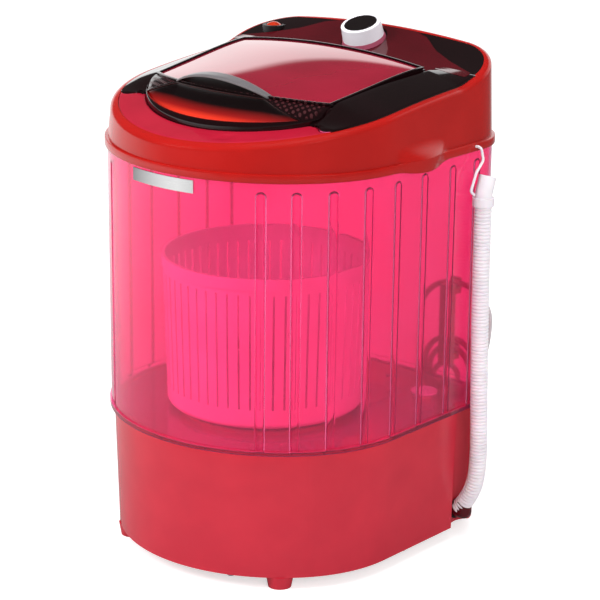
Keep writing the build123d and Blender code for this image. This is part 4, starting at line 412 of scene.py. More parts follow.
@dataclass(frozen=True)
class Roofs:
    """Heights of the top surfaces over the plan."""

    seam: tuple[Pair, ...] = ((-150.0, 477.0), (-20.0, 500.5), (108.0, 513.0))
    half: float = 190.0
    band_radius: float = 487.0
    break_y: float = 108.0
    ramp_end: float = 140.0
    rear_y: tuple[float, ...] = (108.0, 140.0, 175.0, 212.0)
    rear_edge: tuple[float, ...] = (511.8, 520.0, 531.0, 534.0)
    rear_middle: tuple[float, ...] = (516.0, 524.0, 539.5, 557.0)
    lid_y: tuple[float, ...] = (-130.0, -96.0, -43.0, 30.0, 116.0)
    lid_edge: tuple[float, ...] = (490.0, 499.0, 507.7, 518.5, 526.8)
    lid_middle: tuple[float, ...] = (504.0, 513.0, 522.0, 531.0, 536.0)
    lid_half: float = 130.0
    band_from: float = -100.0
    band_full: float = -44.0
    front_fall: float = 1.0
    blend: float = 6.0

    def front(self, y: np.ndarray) -> np.ndarray:
        """Seam height ahead of the rear deck: the parabola through three points of the seam."""
        return through(tuple(p[0] for p in self.seam), tuple(p[1] for p in self.seam), y)

    def rear(self, x: np.ndarray, y: np.ndarray) -> np.ndarray:
        """Rear deck: crowned across, its edge and middle heights cubic in y."""
        edge = through(self.rear_y, self.rear_edge, y)
        return crown(x, edge, through(self.rear_y, self.rear_middle, y), self.half)

    def band(self, x: np.ndarray, y: np.ndarray) -> np.ndarray:
        """Crowned band beside the lid, which flattens into the seam's own height towards the front."""
        seam_half = PLAN.half_width - SEAM_INSET
        full = self.band_radius - math.sqrt(self.band_radius**2 - self.half**2)
        rise = self.band_radius - math.sqrt(self.band_radius**2 - seam_half**2)
        share = smooth_step(self.band_from, self.band_full, y)
        middle = self.front(y) + rise * share
        fall = self.front_fall + (full - self.front_fall) * share
        return crown(x, middle - fall, middle, self.half)

    def ramp(self, x: np.ndarray, y: np.ndarray) -> np.ndarray:
        """Rear ends of the band, ruled from the band's last section down to the rear deck."""
        here = (y - self.break_y) / (self.ramp_end - self.break_y)
        start = self.band(x, np.full_like(x, self.break_y))
        end = self.rear(x, np.full_like(x, self.ramp_end))
        return start + (end - start) * np.clip(here, 0.0, 1.0)

    def strip(self, x: np.ndarray, y: np.ndarray) -> np.ndarray:
        """Band and ramp together."""
        return np.where(y < self.break_y, self.band(x, np.minimum(y, self.break_y)), self.ramp(x, y))

    def edge(self, x: np.ndarray, y: np.ndarray) -> np.ndarray:
        """Height of the collar's top edge all round."""
        low, high = self.break_y - self.blend, self.break_y + self.blend
        share = smooth_step(low, high, y)
        return self.front(np.minimum(y, high)) * (1.0 - share) + self.rear(x, np.maximum(y, low)) * share

    def lid(self, x: np.ndarray, y: np.ndarray) -> np.ndarray:
        """Crowned top of the lid, its edge and middle heights quartic in y."""
        edge = through(self.lid_y, self.lid_edge, y)
        return crown(x, edge, through(self.lid_y, self.lid_middle, y), self.lid_half)


ROOFS = Roofs()


# Finishes


def linear(hex_colour: str) -> tuple[float, float, float, float]:
    """An sRGB colour such as C81E2D as linear red, green, blue and alpha."""
    values = (int(hex_colour[k : k + 2], 16) / 255.0 for k in (0, 2, 4))
    red, green, blue = (v / 12.92 if v <= 0.04045 else ((v + 0.055) / 1.055) ** 2.4 for v in values)
    return red, green, blue, 1.0


def add_node(tree: Tree, kind: str, settings: dict | None = None, **links) -> bpy.types.Node:
    """Add a node, set its properties and sockets, and link its inputs.

    Args:
        tree: node tree of a material or world.
        kind: node type without the leading ShaderNode.
        settings: property or input names with their values; in_1 is the second input, and stops holds the places
            and hex colours of a ramp.
        links: input names, underscores for spaces, with the sockets that feed them; in_0 is the first input.

    Returns:
        The node.
    """
    node = tree.nodes.new("ShaderNode" + kind)
    for key, value in (settings or {}).items():
        if key == "stops":
            stops = node.color_ramp.elements
            for stop, (share, colour) in zip(stops, (value[0], value[-1])):
                stop.position, stop.color = share, linear(colour)
            for share, colour in value[1:-1]:
                stops.new(share).color = linear(colour)
        elif hasattr(node, key):
            setattr(node, key, value)
        else:
            node.inputs[int(key[3:]) if key.startswith("in_") else key].default_value = value
    for key, socket in links.items():
        tree.links.new(node.inputs[int(key[3:]) if key.startswith("in_") else key.replace("_", " ")], socket)
    return node


def new_material(name: str) -> bpy.types.Material:
    """An empty node material."""
    material = bpy.data.materials.new(name)
    material.use_nodes = True
    material.node_tree.nodes.clear()
    return material


def object_noise(tree: Tree, size: float, detail: float) -> Socket:
    """Noise whose blobs are about size millimetres across, on Object coordinates."""
    spot = add_node(tree, "TexCoord").outputs["Object"]
    return add_node(tree, "TexNoise", {"Scale": 1.0 / (size * MM), "Detail": detail}, Vector=spot).outputs["Fac"]


@dataclass(frozen=True)
class Finish:
    """What every finish has: the name of the real finish, its colour, and a material made from its shader."""

    name: str
    colour: str

    def shade(self, tree: Tree) -> Socket:
        """The finish's own shader, as the socket that goes to the surface."""
        raise NotImplementedError

    def build(self) -> bpy.types.Material:
        """Make the material."""
        material = new_material(self.name)
        add_node(material.node_tree, "OutputMaterial", Surface=self.shade(material.node_tree))
        return material


@dataclass(frozen=True)
class Moulding(Finish):
    """Moulded plastic: a colour that drifts in clouds, a roughness that smears, and a shallow relief.

    Clouds, smears and relief are noise, each with its blob size in millimetres and its detail. The roughness runs
    between two shares of its own value.
    """

    cloud: str
    roughness: float = 0.16
    clouds: Pair = (60.0, 3.0)
    smears: Pair = (24.0, 5.0)
    smear_span: Pair = (0.8, 1.3)
    peel: float = 9.0
    peel_detail: float = 1.0
    peel_depth: float = 0.02
    peel_strength: float = 0.25
    ior: float = 1.5

    def own_settings(self) -> dict[str, float]:
        """Constants on the shader's own sockets."""
        return {"IOR": self.ior}

    def shade(self, tree: Tree) -> Socket:
        """Clouds into the colour, smears into the roughness and relief into the normal."""
        drift = {"stops": ((0.35, self.colour), (0.65, self.cloud))}
        tone = add_node(tree, "ValToRGB", drift, Fac=object_noise(tree, *self.clouds))
        low, high = (self.roughness * share for share in self.smear_span)
        rough = add_node(tree, "MapRange", {"To Min": low, "To Max": high}, Value=object_noise(tree, *self.smears))
        relief = {"Strength": self.peel_strength, "Distance": self.peel_depth * MM}
        bump = add_node(tree, "Bump", relief, Height=object_noise(tree, self.peel, self.peel_detail))
        shader = add_node(
            tree,
            "BsdfPrincipled",
            self.own_settings(),
            Base_Color=tone.outputs["Color"],
            Roughness=rough.outputs["Result"],
            Normal=bump.outputs["Normal"],
        )
        return shader.outputs["BSDF"]


@dataclass(frozen=True)
class GlossPlastic(Moulding):
    """Injection-moulded plastic: even colour with faint flow clouds, a polished skin and a trace of orange peel."""

    coat: float = 0.0

    def own_settings(self) -> dict[str, float]:
        """Constants on the shader's own sockets."""
        return {"IOR": self.ior, "Coat Weight": self.coat, "Coat Roughness": 0.05}


@dataclass(frozen=True)
class MattPlastic(Moulding):
    """Soft or unpolished moulding, such as hose, rubber and cord sheath: fine grain and a wide sheen."""

    roughness: float = 0.5
    clouds: Pair = (25.0, 5.0)
    smears: Pair = (1.2, 2.0)
    smear_span: Pair = (0.85, 1.2)
    peel: float = 1.2
    peel_detail: float = 2.0
    peel_depth: float = 0.05
    peel_strength: float = 0.4
    subsurface: float = 0.0

    def own_settings(self) -> dict[str, float]:
        """Constants on the shader's own sockets."""
        return {"Subsurface Weight": self.subsurface, "Subsurface Scale": 0.004}


@dataclass(frozen=True)
class ClearPlastic(Moulding):
    """Tinted clear moulding: what is behind it shows through in its colour, with a little milk in the wall.

    Rays from the lamps pass straight through in a paler tint, the colour to the power pale, so that they light
    what stands behind the wall.
    """

    roughness: float = 0.06
    clouds: Pair = (90.0, 3.0)
    smears: Pair = (30.0, 4.0)
    smear_span: Pair = (0.7, 1.4)
    peel: float = 14.0
    peel_depth: float = 0.03
    peel_strength: float = 0.2
    ior: float = 1.46
    clear: float = 0.9
    pale: float = 0.2

    def own_settings(self) -> dict[str, float]:
        """Constants on the shader's own sockets."""
        return {"IOR": self.ior, "Transmission Weight": self.clear}

    def shade(self, tree: Tree) -> Socket:
        """The moulding's shader, and the paler tint for rays from the lamps."""
        glass = super().shade(tree)
        tint = tuple(value**self.pale for value in linear(self.colour))
        passing = add_node(tree, "BsdfTransparent", {"Color": tint}).outputs["BSDF"]
        lamp_ray = add_node(tree, "LightPath").outputs["Is Shadow Ray"]
        return add_node(tree, "MixShader", in_0=lamp_ray, in_1=glass, in_2=passing).outputs["Shader"]


@dataclass(frozen=True)
class BareMetal(Finish):
    """Metal with its surface treatment: a low variation of sheen, and hairlines where it is brushed.

    The hairlines are drawn 0.4 mm apart, coarser than real ones, so that they show. Where there is a far colour,
    the tone passes to it over a span of x in millimetres, as a painted reflection.
    """

    roughness: float = 0.22
    hairline: float = 0.0
    hairline_depth: float = 0.02
    stretch: Spot = (30.0, 30.0, 2500.0)
    sheen_span: Pair = (0.7, 1.4)
    far: str = ""
    span: Pair = (0.0, 1.0)

    def shade(self, tree: Tree) -> Socket:
        """Noise drawn out into lines feeds the sheen and the relief."""
        spot = add_node(tree, "TexCoord").outputs["Object"]
        drawn = add_node(tree, "Mapping", {"Scale": self.stretch}, Vector=spot).outputs["Vector"]
        lines = add_node(tree, "TexNoise", {"Scale": 1.0, "Detail": 2.0}, Vector=drawn).outputs["Fac"]
        low, high = (self.roughness * share for share in self.sheen_span)
        sheen = add_node(tree, "MapRange", {"To Min": low, "To Max": high}, Value=lines)
        relief = {"Strength": self.hairline, "Distance": self.hairline_depth * MM}
        bump = add_node(tree, "Bump", relief, Height=lines)
        links = {"Roughness": sheen.outputs["Result"], "Normal": bump.outputs["Normal"]}
        # painted reflection: the tone runs from the colour to the far colour over x
        if self.far:
            x = add_node(tree, "SeparateXYZ", Vector=spot).outputs["X"]
            low, high = (value * MM for value in self.span)
            share = add_node(tree, "MapRange", {"From Min": low, "From Max": high}, Value=x).outputs["Result"]
            tones = {"stops": ((0.0, self.colour), (1.0, self.far))}
            links["Base_Color"] = add_node(tree, "ValToRGB", tones, Fac=share).outputs["Color"]
        metal = {"Base Color": linear(self.colour), "Metallic": 1.0}
        return add_node(tree, "BsdfPrincipled", metal, **links).outputs["BSDF"]


@dataclass(frozen=True)
class PaintedShadeGloss(Finish):
    """Glossy dish with painted shade and light: painted shade makes it black at its upper rear edge under the strip,
    passing through deep red to a painted glow of bright red at the bottom.
    """

    deep: str
    bright: str
    top: float
    bottom: float
    smear_size: float = 12.0
    rough_span: Pair = (0.26, 0.34)

    def shade(self, tree: Tree) -> Socket:
        """Colour graded over height as painted shade above and painted light below, with a smeared roughness."""
        spot = add_node(tree, "TexCoord").outputs["Object"]
        z = add_node(tree, "SeparateXYZ", Vector=spot).outputs["Z"]
        ends = {"From Min": self.bottom * MM, "From Max": self.top * MM}
        level = add_node(tree, "MapRange", ends, Value=z).outputs["Result"]
        # painted shade at the top and painted light at the bottom, by height alone
        tones = {"stops": ((0.1, self.bright), (0.5, self.deep), (0.95, self.colour))}
        tone = add_node(tree, "ValToRGB", tones, Fac=level).outputs["Color"]
        low, high = self.rough_span
        smears = object_noise(tree, self.smear_size, 3.0)
        rough = add_node(tree, "MapRange", {"To Min": low, "To Max": high}, Value=smears).outputs["Result"]
        return add_node(tree, "BsdfPrincipled", {"IOR": 1.5}, Base_Color=tone, Roughness=rough).outputs["BSDF"]


@dataclass(frozen=True)
class DottedGloss(Finish):
    """Smoked glossy plastic whose wings carry a field of small round dimples in even rows.

    The dimples lie on a square grid in plan. The wings end where |x|, y and height pass the given edges, each of
    them faded from its first value to its second, in millimetres from the tub axis.
    """

    dimple_colour: str = "401A1E"
    pitch: float = 5.2
    dimple: float = 1.4
    soft: float = 1.35
    turn: float = 28.0
    relief: float = -0.15
    relief_strength: float = 0.4
    rough_span: Pair = (0.08, 0.3)
    side_edge: Pair = (118.0, 114.0)
    rear_edge: Pair = (-30.0, -33.0)
    low_edge: Pair = (499.0, 501.0)

    def dots(self, tree: Tree, spot: Socket) -> Socket:
        """1 inside a dimple and 0 outside: the distance in plan from the middle of each square of the grid."""
        turn = add_node(tree, "Mapping", {"Rotation": (0.0, 0.0, math.radians(self.turn))}, Vector=spot)
        result = turn.outputs["Vector"]
        for settings in (
            {"operation": "SCALE", "Scale": 1.0 / (self.pitch * MM)},
            {"operation": "FRACTION"},
            {"operation": "SUBTRACT", "in_1": (0.5, 0.5, 0.0)},
            {"operation": "MULTIPLY", "in_1": (1.0, 1.0, 0.0)},
        ):
            result = add_node(tree, "VectorMath", settings, Vector=result).outputs["Vector"]
        reach = add_node(tree, "VectorMath", {"operation": "LENGTH"}, Vector=result).outputs["Value"]
        share = self.dimple / self.pitch
        outside = add_node(tree, "MapRange", {"From Min": share, "From Max": share * self.soft}, Value=reach)
        less = {"operation": "SUBTRACT", "in_0": 1.0}
        return add_node(tree, "Math", less, in_1=outside.outputs["Result"]).outputs["Value"]

    def wing_zone(self, tree: Tree, spot: Socket) -> Socket:
        """1 on the wings beside the dish and ahead of the window, 0 elsewhere: the product of three fades."""
        parts = add_node(tree, "SeparateXYZ", Vector=spot)
        side = add_node(tree, "Math", {"operation": "ABSOLUTE"}, in_0=parts.outputs["X"]).outputs["Value"]
        rear = tuple(value + AXIS_Y for value in self.rear_edge)
        places = ((self.side_edge, side), (rear, parts.outputs["Y"]), (self.low_edge, parts.outputs["Z"]))
        fades = []
        for (first, last), value in places:
            fade = add_node(tree, "MapRange", {"From Min": first * MM, "From Max": last * MM}, Value=value)
            fades.append(fade.outputs["Result"])
        both = add_node(tree, "Math", {"operation": "MULTIPLY"}, in_0=fades[0], in_1=fades[1]).outputs["Value"]
        return add_node(tree, "Math", {"operation": "MULTIPLY"}, in_0=both, in_1=fades[2]).outputs["Value"]

    def shade(self, tree: Tree) -> Socket:
        """The dimples are paler, rougher and sunk."""
        spot = add_node(tree, "TexCoord").outputs["Object"]
        ends = {"in_0": self.wing_zone(tree, spot), "in_1": self.dots(tree, spot)}
        mask = add_node(tree, "Math", {"operation": "MULTIPLY"}, **ends).outputs["Value"]
        relief = {"Strength": self.relief_strength, "Distance": self.relief * MM}
        tones = {"stops": ((0.0, self.colour), (1.0, self.dimple_colour))}
        low, high = self.rough_span
        rough = add_node(tree, "MapRange", {"To Min": low, "To Max": high}, Value=mask)
        shader = add_node(
            tree,
            "BsdfPrincipled",
            {"IOR": 1.5},
            Base_Color=add_node(tree, "ValToRGB", tones, Fac=mask).outputs["Color"],
            Roughness=rough.outputs["Result"],
            Normal=add_node(tree, "Bump", relief, Height=mask).outputs["Normal"],
        )
        return shader.outputs["BSDF"]


FINISHES = {
    # deep red with a soft broad highlight along each rounded edge
    "red_shell": GlossPlastic("polished_abs_red", "AC1612", "A41410", roughness=0.18),
    # pinker and duller than the housing above it, so that the seam reads
    "red_base": GlossPlastic("polished_abs_raspberry", "C4283A", "BA2436", roughness=0.22),
    # a raspberry depth under a sharp reflection
    "sill": GlossPlastic("clear_over_raspberry", "B41C34", "AA1830", roughness=0.1, coat=0.3),
    # nearly black red that mirrors the knob
    "dark_red": GlossPlastic("smoked_red_pmma", "500A14", "460911", roughness=0.1, coat=0.3),
    # piano black with clean reflections
    "smoke": GlossPlastic("smoked_black_pmma", "160608", "120506", roughness=0.07, coat=0.3),
    # dull black that stays quiet inside the machine
    "black": MattPlastic("moulded_nylon_black", "1A1718", "242021", roughness=0.4),
    # a small warm accent
    "orange": GlossPlastic("polished_abs_orange", "B83014", "AC2A10", roughness=0.15),
    # clean white with a soft sheen
    "white": GlossPlastic("polished_abs_white", "F8F3FA", "F0EBF3", roughness=0.25),
    # bright pink wall with everything behind it tinted
    "tub_pink": ClearPlastic("tinted_clear_pp_rose", "F46EA2", "F4689C", roughness=0.05, clear=0.92),
    # pale body whose slots show through the tub
    "basket_pink": GlossPlastic("milky_pp_pink", "FFDCF2", "F8D2EA", roughness=0.3),
    # red sheet with the room in it
    "window": GlossPlastic("smoked_clear_pmma_red", "981830", "8E162C", roughness=0.05, peel_depth=0.004, coat=0.6),
    # dusty frosted pink, with no highlight of its own
    "skirt": GlossPlastic("frosted_pp_pink", "B05068", "A04860", roughness=0.45, peel=1.5, peel_depth=0.2),
    # waxy white whose ribs shade softly
    "hose": MattPlastic("moulded_pe_white", "F0EBF0", "E6E0E6", roughness=0.42, subsurface=0.1),
    # bright can
    "silver": BareMetal("bright_plated_plate", "DADADC", roughness=0.18),
    # plate with a painted reflection: it runs from grey to white, as if it mirrored a window
    "badge": BareMetal("plated_plate_painted_reflection", "8A888A", roughness=0.3, far="FFFFFF", span=(-46.0, 20.0)),
    # grey edge of light across the black lid
    "strip": GlossPlastic("satin_grey_strip", "6C686A", "646062", roughness=0.3),
    # fasteners and shafts with a dull grain
    "steel": BareMetal("zinc_plated_steel", "9A9A9E", roughness=0.35, hairline=0.2),
    # greyer and softer than the steel
    "aluminium": BareMetal("cast_aluminium", "B4B4B8", roughness=0.45),
    # yellow pins
    "brass": BareMetal("drawn_brass", "C8A860", roughness=0.25),
    # black can with a low sheen
    "motor_paint": MattPlastic("baked_enamel_black", "1C1C1E", "28282A", roughness=0.35),
    # flat black that takes no highlight
    "rubber": MattPlastic("moulded_rubber", "171717", "232222", roughness=0.7),
    # soft pale grey
    "lead": MattPlastic("pvc_sheath_pale_grey", "C9C3C6", "BEB8BB", roughness=0.45),
    # painted light: red glow at the bottom of a dish whose upper part is painted black shade
    "scoop": PaintedShadeGloss("dish_painted_shade_and_light", "0C0304", "8A0C0A", "F23A1E", 503.0, 486.5),
    # black that hides the step between strip and dish
    "hood": GlossPlastic("lacquered_black_hood", "0E0304", "0C0303", roughness=0.35),
    # piano black broken up by paler dimples
    "lid": DottedGloss("smoked_pmma_dimpled", "160608"),
}


def build_finishes() -> Finishes:
    """Every finish as a material, by its short name."""
    return {key: finish.build() for key, finish in FINISHES.items()}


# Cords


@dataclass
class MainsLead:
    """Mains lead behind the casing: out of its relief, up, and wound into a flat hank on the cleat."""

    plane: float = 217.0
    diameter: float = 6.4
    steps: int = 900
    route: tuple[Pair, ...] = (
        (46, 103), (46, 135), (46, 200), (47, 238), (76, 263), (116, 264), (142, 244), (145, 218), (136, 172),
        (134, 130), (133, 88), (130, 66), (110, 45), (78, 44), (53, 68), (52, 102), (54, 144), (55, 176), (76, 197),
        (108, 197),
        (129, 175), (128, 144), (127, 101), (127, 73), (109, 53), (81, 53), (61, 73), (60, 101), (62, 143), (62, 168),
        (79, 186), (103, 187), (120, 168), (120, 143), (120, 99), (120, 77), (106, 62), (84, 62), (68, 77), (68, 99),
        (68, 140), (68, 154), (79, 165), (94, 165), (104, 154), (104, 140),
    )  # fmt: skip

    def build(self, finishes: Finishes) -> None:
        """Make the lead as a tube along the smooth curve of its route, with the plug on its far end."""
        route = tuple((float(x), self.plane, float(z)) for x, z in self.route)
        path, length = even_path(spline_points("lead_route", route), self.steps)
        LOG.info("mains lead is %.3f m long", length)
        shape = tube_along(path, np.full(len(path), self.diameter * MM / 2.0), 14)
        shape.points = unplace(shape.points)
        lead = make_piece("mains_lead", [shape])
        finish_piece(lead, finishes["lead"], "casing", "grey_lead", "power_cord", "cord_hank")


@dataclass
class DrainHose:
    """Ribbed drain hose from the gland in the base's recess up to its nozzle, which hangs in the wire hook."""

    radius: float = 9.8
    root: float = 8.5
    ribs: int = 92
    rings: int = 8
    route: tuple[Spot, ...] = (
        (166.0, 139.0, 31.0),
        (178.5, 139.0, 46.0),
        (189.0, 138.5, 72.0),
        (191.5, 137.5, 110.0),
        (191.5, 134.0, 175.0),
        (191.5, 130.5, 270.0),
        (191.5, 129.5, 350.0),
        (191.5, 129.5, 386.0),
    )

    def build(self, finishes: Finishes) -> None:
        """Make the hose along its smooth route, with rings points to a rib.

        The radius is root + (radius - root) times the square root of a wave that runs from 0 to 1 and back at each
        rib: half of (1 - cosine).
        """
        count = self.ribs * self.rings + 1
        path, length = even_path(spline_points("hose_route", self.route), count)
        wave = 0.5 - 0.5 * np.cos(2.0 * math.pi * np.arange(count) / self.rings)
        radii = (self.root + (self.radius - self.root) * np.sqrt(wave)) * MM
        shape = tube_along(path, radii, 32)
        shape.points = unplace(shape.points)
        hose = make_piece("ribbed_hose", [shape], sharp=80.0)
        finish_piece(hose, finishes["hose"], "casing", "hose_white", "drain_hose")


# Top of the casing


def between(inner: np.ndarray, outer: np.ndarray, steps: np.ndarray) -> tuple[np.ndarray, np.ndarray]:
    """Plan x and y of rows that pass from one line of plan points to another: inner + step times (outer - inner)."""
    rows = inner[None] + (outer - inner)[None] * steps[:, None, None]
    return rows[..., 0], rows[..., 1]


def level_grid(x: np.ndarray, y: np.ndarray, z: np.ndarray | float) -> Grid:
    """Grid from plan arrays and a height."""
    return Grid(points_of(x, y, z))


def drop_wall(line: np.ndarray, foot: np.ndarray | float, rows: int = 4) -> Grid:
    """Upright wall from a line of points down to a height."""
    low = line.copy()
    low[:, 2] = foot
    steps = np.linspace(0.0, 1.0, rows)[:, None, None]
    return Grid(line[None] * (1.0 - steps) + low[None] * steps)


def hinge_block(x: float, half: float, foot: Pair, y: float, z: float, radius: float = 4.2) -> Grid:
    """Block of a hinge: a circle about the pin's line, drawn out to two feet, and carried along x.

    Args:
        x: middle of the block.
        half: half of its length.
        foot: y and z, from the pin, of the far end that the circle is drawn out to.
        y: y of the pin.
        z: height of the pin.
        radius: radius of the circle.

    Returns:
        The closed shape.
    """
    heading = math.atan2(foot[1], foot[0])
    angle = heading + np.linspace(math.pi / 2.0, 1.5 * math.pi, 17)
    round_part = radius * np.stack([np.cos(angle), np.sin(angle)], axis=-1)
    feet = round_part[[-1, 0]] + np.array(foot)
    section = np.concatenate([round_part, feet]) + np.array([y, z])
    along = np.array([x - half, x - half, x + half, x + half])[:, None]
    grid = points_of(along, section[:, 0], section[:, 1])
    grid[0], grid[-1] = grid[0].mean(axis=0), grid[-1].mean(axis=0)
    return Grid(grid, wrap_columns=True)


@dataclass
class Lid:
    """Crowned lid: a large window in a dark frame, a finger dish under an arched strip, and dimpled wings.

    The apron is the sloping front, from the shoulder to the lip. Places on it are shares of the way down, and the
    ring is its part ahead of the dish.
    """

    corner_x: float = 121.5
    corner_y: float = -43.0
    rear_x: float = 127.5
    rear_y: float = 106.0
    shoulder: float = 83.0
    lip_back: float = -53.0
    lip_reach: float = 64.0
    dish_half: float = 106.0
    dish_flat: float = 60.0
    dish_depth: float = 15.0
    dish_proud: float = 0.5
    dish_from: float = 0.02
    dish_bend: float = 1.15
    ring_from: float = 0.84
    ring_bead: float = 1.6
    lip_proud: float = 2.2
    lip_drop: float = 5.0
    bulge: float = 3.0
    bulge_way: Pair = (-0.6, 0.8)
    rim_radius: float = 1.3
    rim_lift: float = 0.4
    pane_corner: Pair = (118.0, -40.5)
    pane_front: float = 80.0
    pane_rear: float = 103.4
    pane_inset: float = 4.0
    pane_gap: float = 0.3
    pane_proud: float = 0.4
    pane_wall: float = 2.8
    pane_round: float = 0.8
    wall: float = 2.4
    thin_wall: float = 1.2
    columns: int = 121
    foot_low: float = 481.6
    foot_front: float = -108.0
    foot_rise: float = 36.5
    foot_run: float = 214.0
    strip_half: float = 63.0
    strip_low: float = 515.5
    strip_high: float = 530.5
    strip_back: float = 3.0
    strip_width: Pair = (3.4, 8.0)
    strip_thick: float = 1.3
    strip_lean: float = 0.12
    hood_foot: Pair = (8.0, 9.0)
    hood_swell: float = 1.3
    knuckle_half: float = 7.0
    knuckle_foot: Pair = (-7.5, -1.8)
    hinge_x: float = 110.0
    hinge_y: float = 111.0
    hinge_z: float = 521.5

    def shoulder_y(self, x: np.ndarray) -> np.ndarray:
        """Plan line of the lid's front shoulder, an arc through its corners."""
        return arc_front(x, (self.corner_x, self.corner_y), self.shoulder)

    def lip_y(self, x: np.ndarray) -> np.ndarray:
        """Plan line of the lip: reach times (1 - (x / corner) squared) to the power 0.75, ahead of its ends."""
        return self.lip_back - self.lip_reach * np.clip(1.0 - (x / self.corner_x) ** 2, 0.0, 1.0) ** 0.75

    def foot_z(self, y: np.ndarray) -> np.ndarray:
        """Height of the slanted plane that the lid stands on."""
        return self.foot_low + (y - self.foot_front) * self.foot_rise / self.foot_run

    def apron(self, x: np.ndarray, t: np.ndarray) -> np.ndarray:
        """Sloping front from the shoulder (t 0) straight to the lip (t 1), bulged outwards by bulge times sin(pi t)."""
        y0, y1 = self.shoulder_y(x), self.lip_y(x)
        z0, z1 = ROOFS.lid(x, y0), ROOFS.front(y1) + self.lip_proud
        bulge = self.bulge * np.sin(math.pi * np.clip(t, 0.0, 1.0))
        ahead, up = self.bulge_way
        return points_of(x, y0 + (y1 - y0) * t + ahead * bulge, z0 + (z1 - z0) * t + up * bulge)

    def dish_top(self, x: np.ndarray) -> np.ndarray:
        """Place of the dish's upper rim on the apron: by the shoulder in the middle, down to the ring at its ends."""
        run = np.clip((np.abs(x) - self.dish_flat) / (self.dish_half - self.dish_flat), 0.0, 1.0)
        return self.dish_from + (self.ring_from - self.dish_from) * run**self.dish_bend

    def side_line(self, inset: float, rear: float, corner: Pair, count: int) -> np.ndarray:
        """Right edge in plan, from its front corner to its rear corner."""
        share = np.linspace(0.0, 1.0, count)[:, None]
        start, end = np.array(corner), np.array([self.rear_x - inset, rear])
        return start + (end - start) * share

    def outline(self, pane: bool, count: int = 41) -> np.ndarray:
        """Plan loop of the lid's top or of its window: front arc, right side, rear edge and left side."""
        corner = self.pane_corner if pane else (self.corner_x, self.corner_y)
        rear = self.pane_rear if pane else self.rear_y
        inset = self.pane_inset if pane else 0.0
        x = np.linspace(-corner[0], corner[0], self.columns)
        y = arc_front(x, corner, self.pane_front) if pane else self.shoulder_y(x)
        right = self.side_line(inset, rear, corner, count)
        back = np.column_stack([np.linspace(1.0, -1.0, count) * (self.rear_x - inset), np.full(count, rear)])
        left = right[::-1] * np.array([-1.0, 1.0])
        return np.concatenate([np.column_stack([x, y])[:-1], right[:-1], back[:-1], left[:-1]])

    def build(self, finishes: Finishes) -> None:
        """Make frame, window, dish, hood, strip and knuckles."""
        self.build_frame(finishes)
        self.build_pane(finishes)
        self.build_dish(finishes)
        self.build_hood(finishes)
        self.build_strip(finishes)
        self.build_knuckles(finishes)

    def build_knuckles(self, finishes: Finishes) -> None:
        """Two knuckles on the rear edge, round at the back and flat where they join the lid."""
        shapes = [
            hinge_block(side * self.hinge_x, self.knuckle_half, self.knuckle_foot, self.hinge_y, self.hinge_z)
            for side in (1.0, -1.0)
        ]
        knuckles = make_piece("lid_knuckles", shapes, sharp=30.0, parts=True)
        finish_piece(knuckles, finishes["smoke"], "lid", "smoke")

    def build_frame(self, finishes: Finishes) -> None:
        """Frame: the top round the window, the apron round the dish, the ring, the lip and the walls."""
        outer, inner = self.outline(False), self.outline(True)
        x, y = between(outer, inner, np.linspace(0.0, 1.0, 7))
        top = level_grid(x, y, ROOFS.lid(x, y))
        top.wrap_columns = True
        across = np.linspace(-self.corner_x, self.corner_x, self.columns)[None, :]
        upper = np.linspace(0.0, 1.0, 9)[:, None] * self.dish_top(across)
        along = np.linspace(0.0, 1.0, 9)[:, None]
        ring = self.apron(across, self.ring_from + (1.0 - self.ring_from) * along)
        bead = self.ring_bead * np.sqrt(np.clip(np.sin(math.pi * along), 0.0, 1.0))
        ring[..., 1] -= 0.5 * bead
        ring[..., 2] += bead
        lip = ring[-1].copy()
        walls = np.concatenate([outer[self.columns - 1 :], outer[:1]])
        edge = np.column_stack([walls, ROOFS.lid(walls[:, 0], walls[:, 1])])
        shell = make_piece(
            "lid_shell",
            [
                top,
                Grid(self.apron(across, upper)),
                Grid(ring),
                drop_wall(lip, lip[:, 2] - self.lip_drop),
                drop_wall(edge, self.foot_z(walls[:, 1])),
                self.cheek(1.0),
                self.cheek(-1.0),
            ],
            Lay.OPEN,
            inside=(0.0, 0.0, 470.0),
            wall=self.wall,
            sharp=50.0,
        )
        finish_piece(shell, finishes["lid"], "lid", "smoke", "lid_frame")

    def cheek(self, side: float) -> Grid:
        """Small three-cornered wall at a front corner, between the apron's end and the foot."""
        t = np.linspace(0.0, 1.0, 9)
        line = self.apron(np.full_like(t, side * self.corner_x), t)
        return drop_wall(line, np.minimum(line[:, 2] - 1.0, self.foot_z(line[:, 1])))

    def build_pane(self, finishes: Finishes) -> None:
        """Window: rows from its front arc to its rear edge, a little proud of the crowned roof."""
        share = np.linspace(0.0, 1.0, 61)[:, None]
        corner_x, gap = self.pane_corner[0], self.pane_gap
        half = corner_x - gap + (self.rear_x - self.pane_inset - corner_x) * share
        u = np.linspace(-1.0, 1.0, self.columns)[None, :]
        x = u * half
        front = arc_front(u * (corner_x - gap), self.pane_corner, self.pane_front - gap)
        y = front + (self.pane_rear - gap - front) * share
        sheet = level_grid(x, y, ROOFS.lid(x, y) + self.pane_proud)
        pane = make_piece("lid_pane", [sheet], Lay.OPEN, inside=BELOW, wall=self.pane_wall)
        round_edges(pane, self.pane_round)
        finish_piece(pane, finishes["window"], "lid", "dark_red", "lid_window")

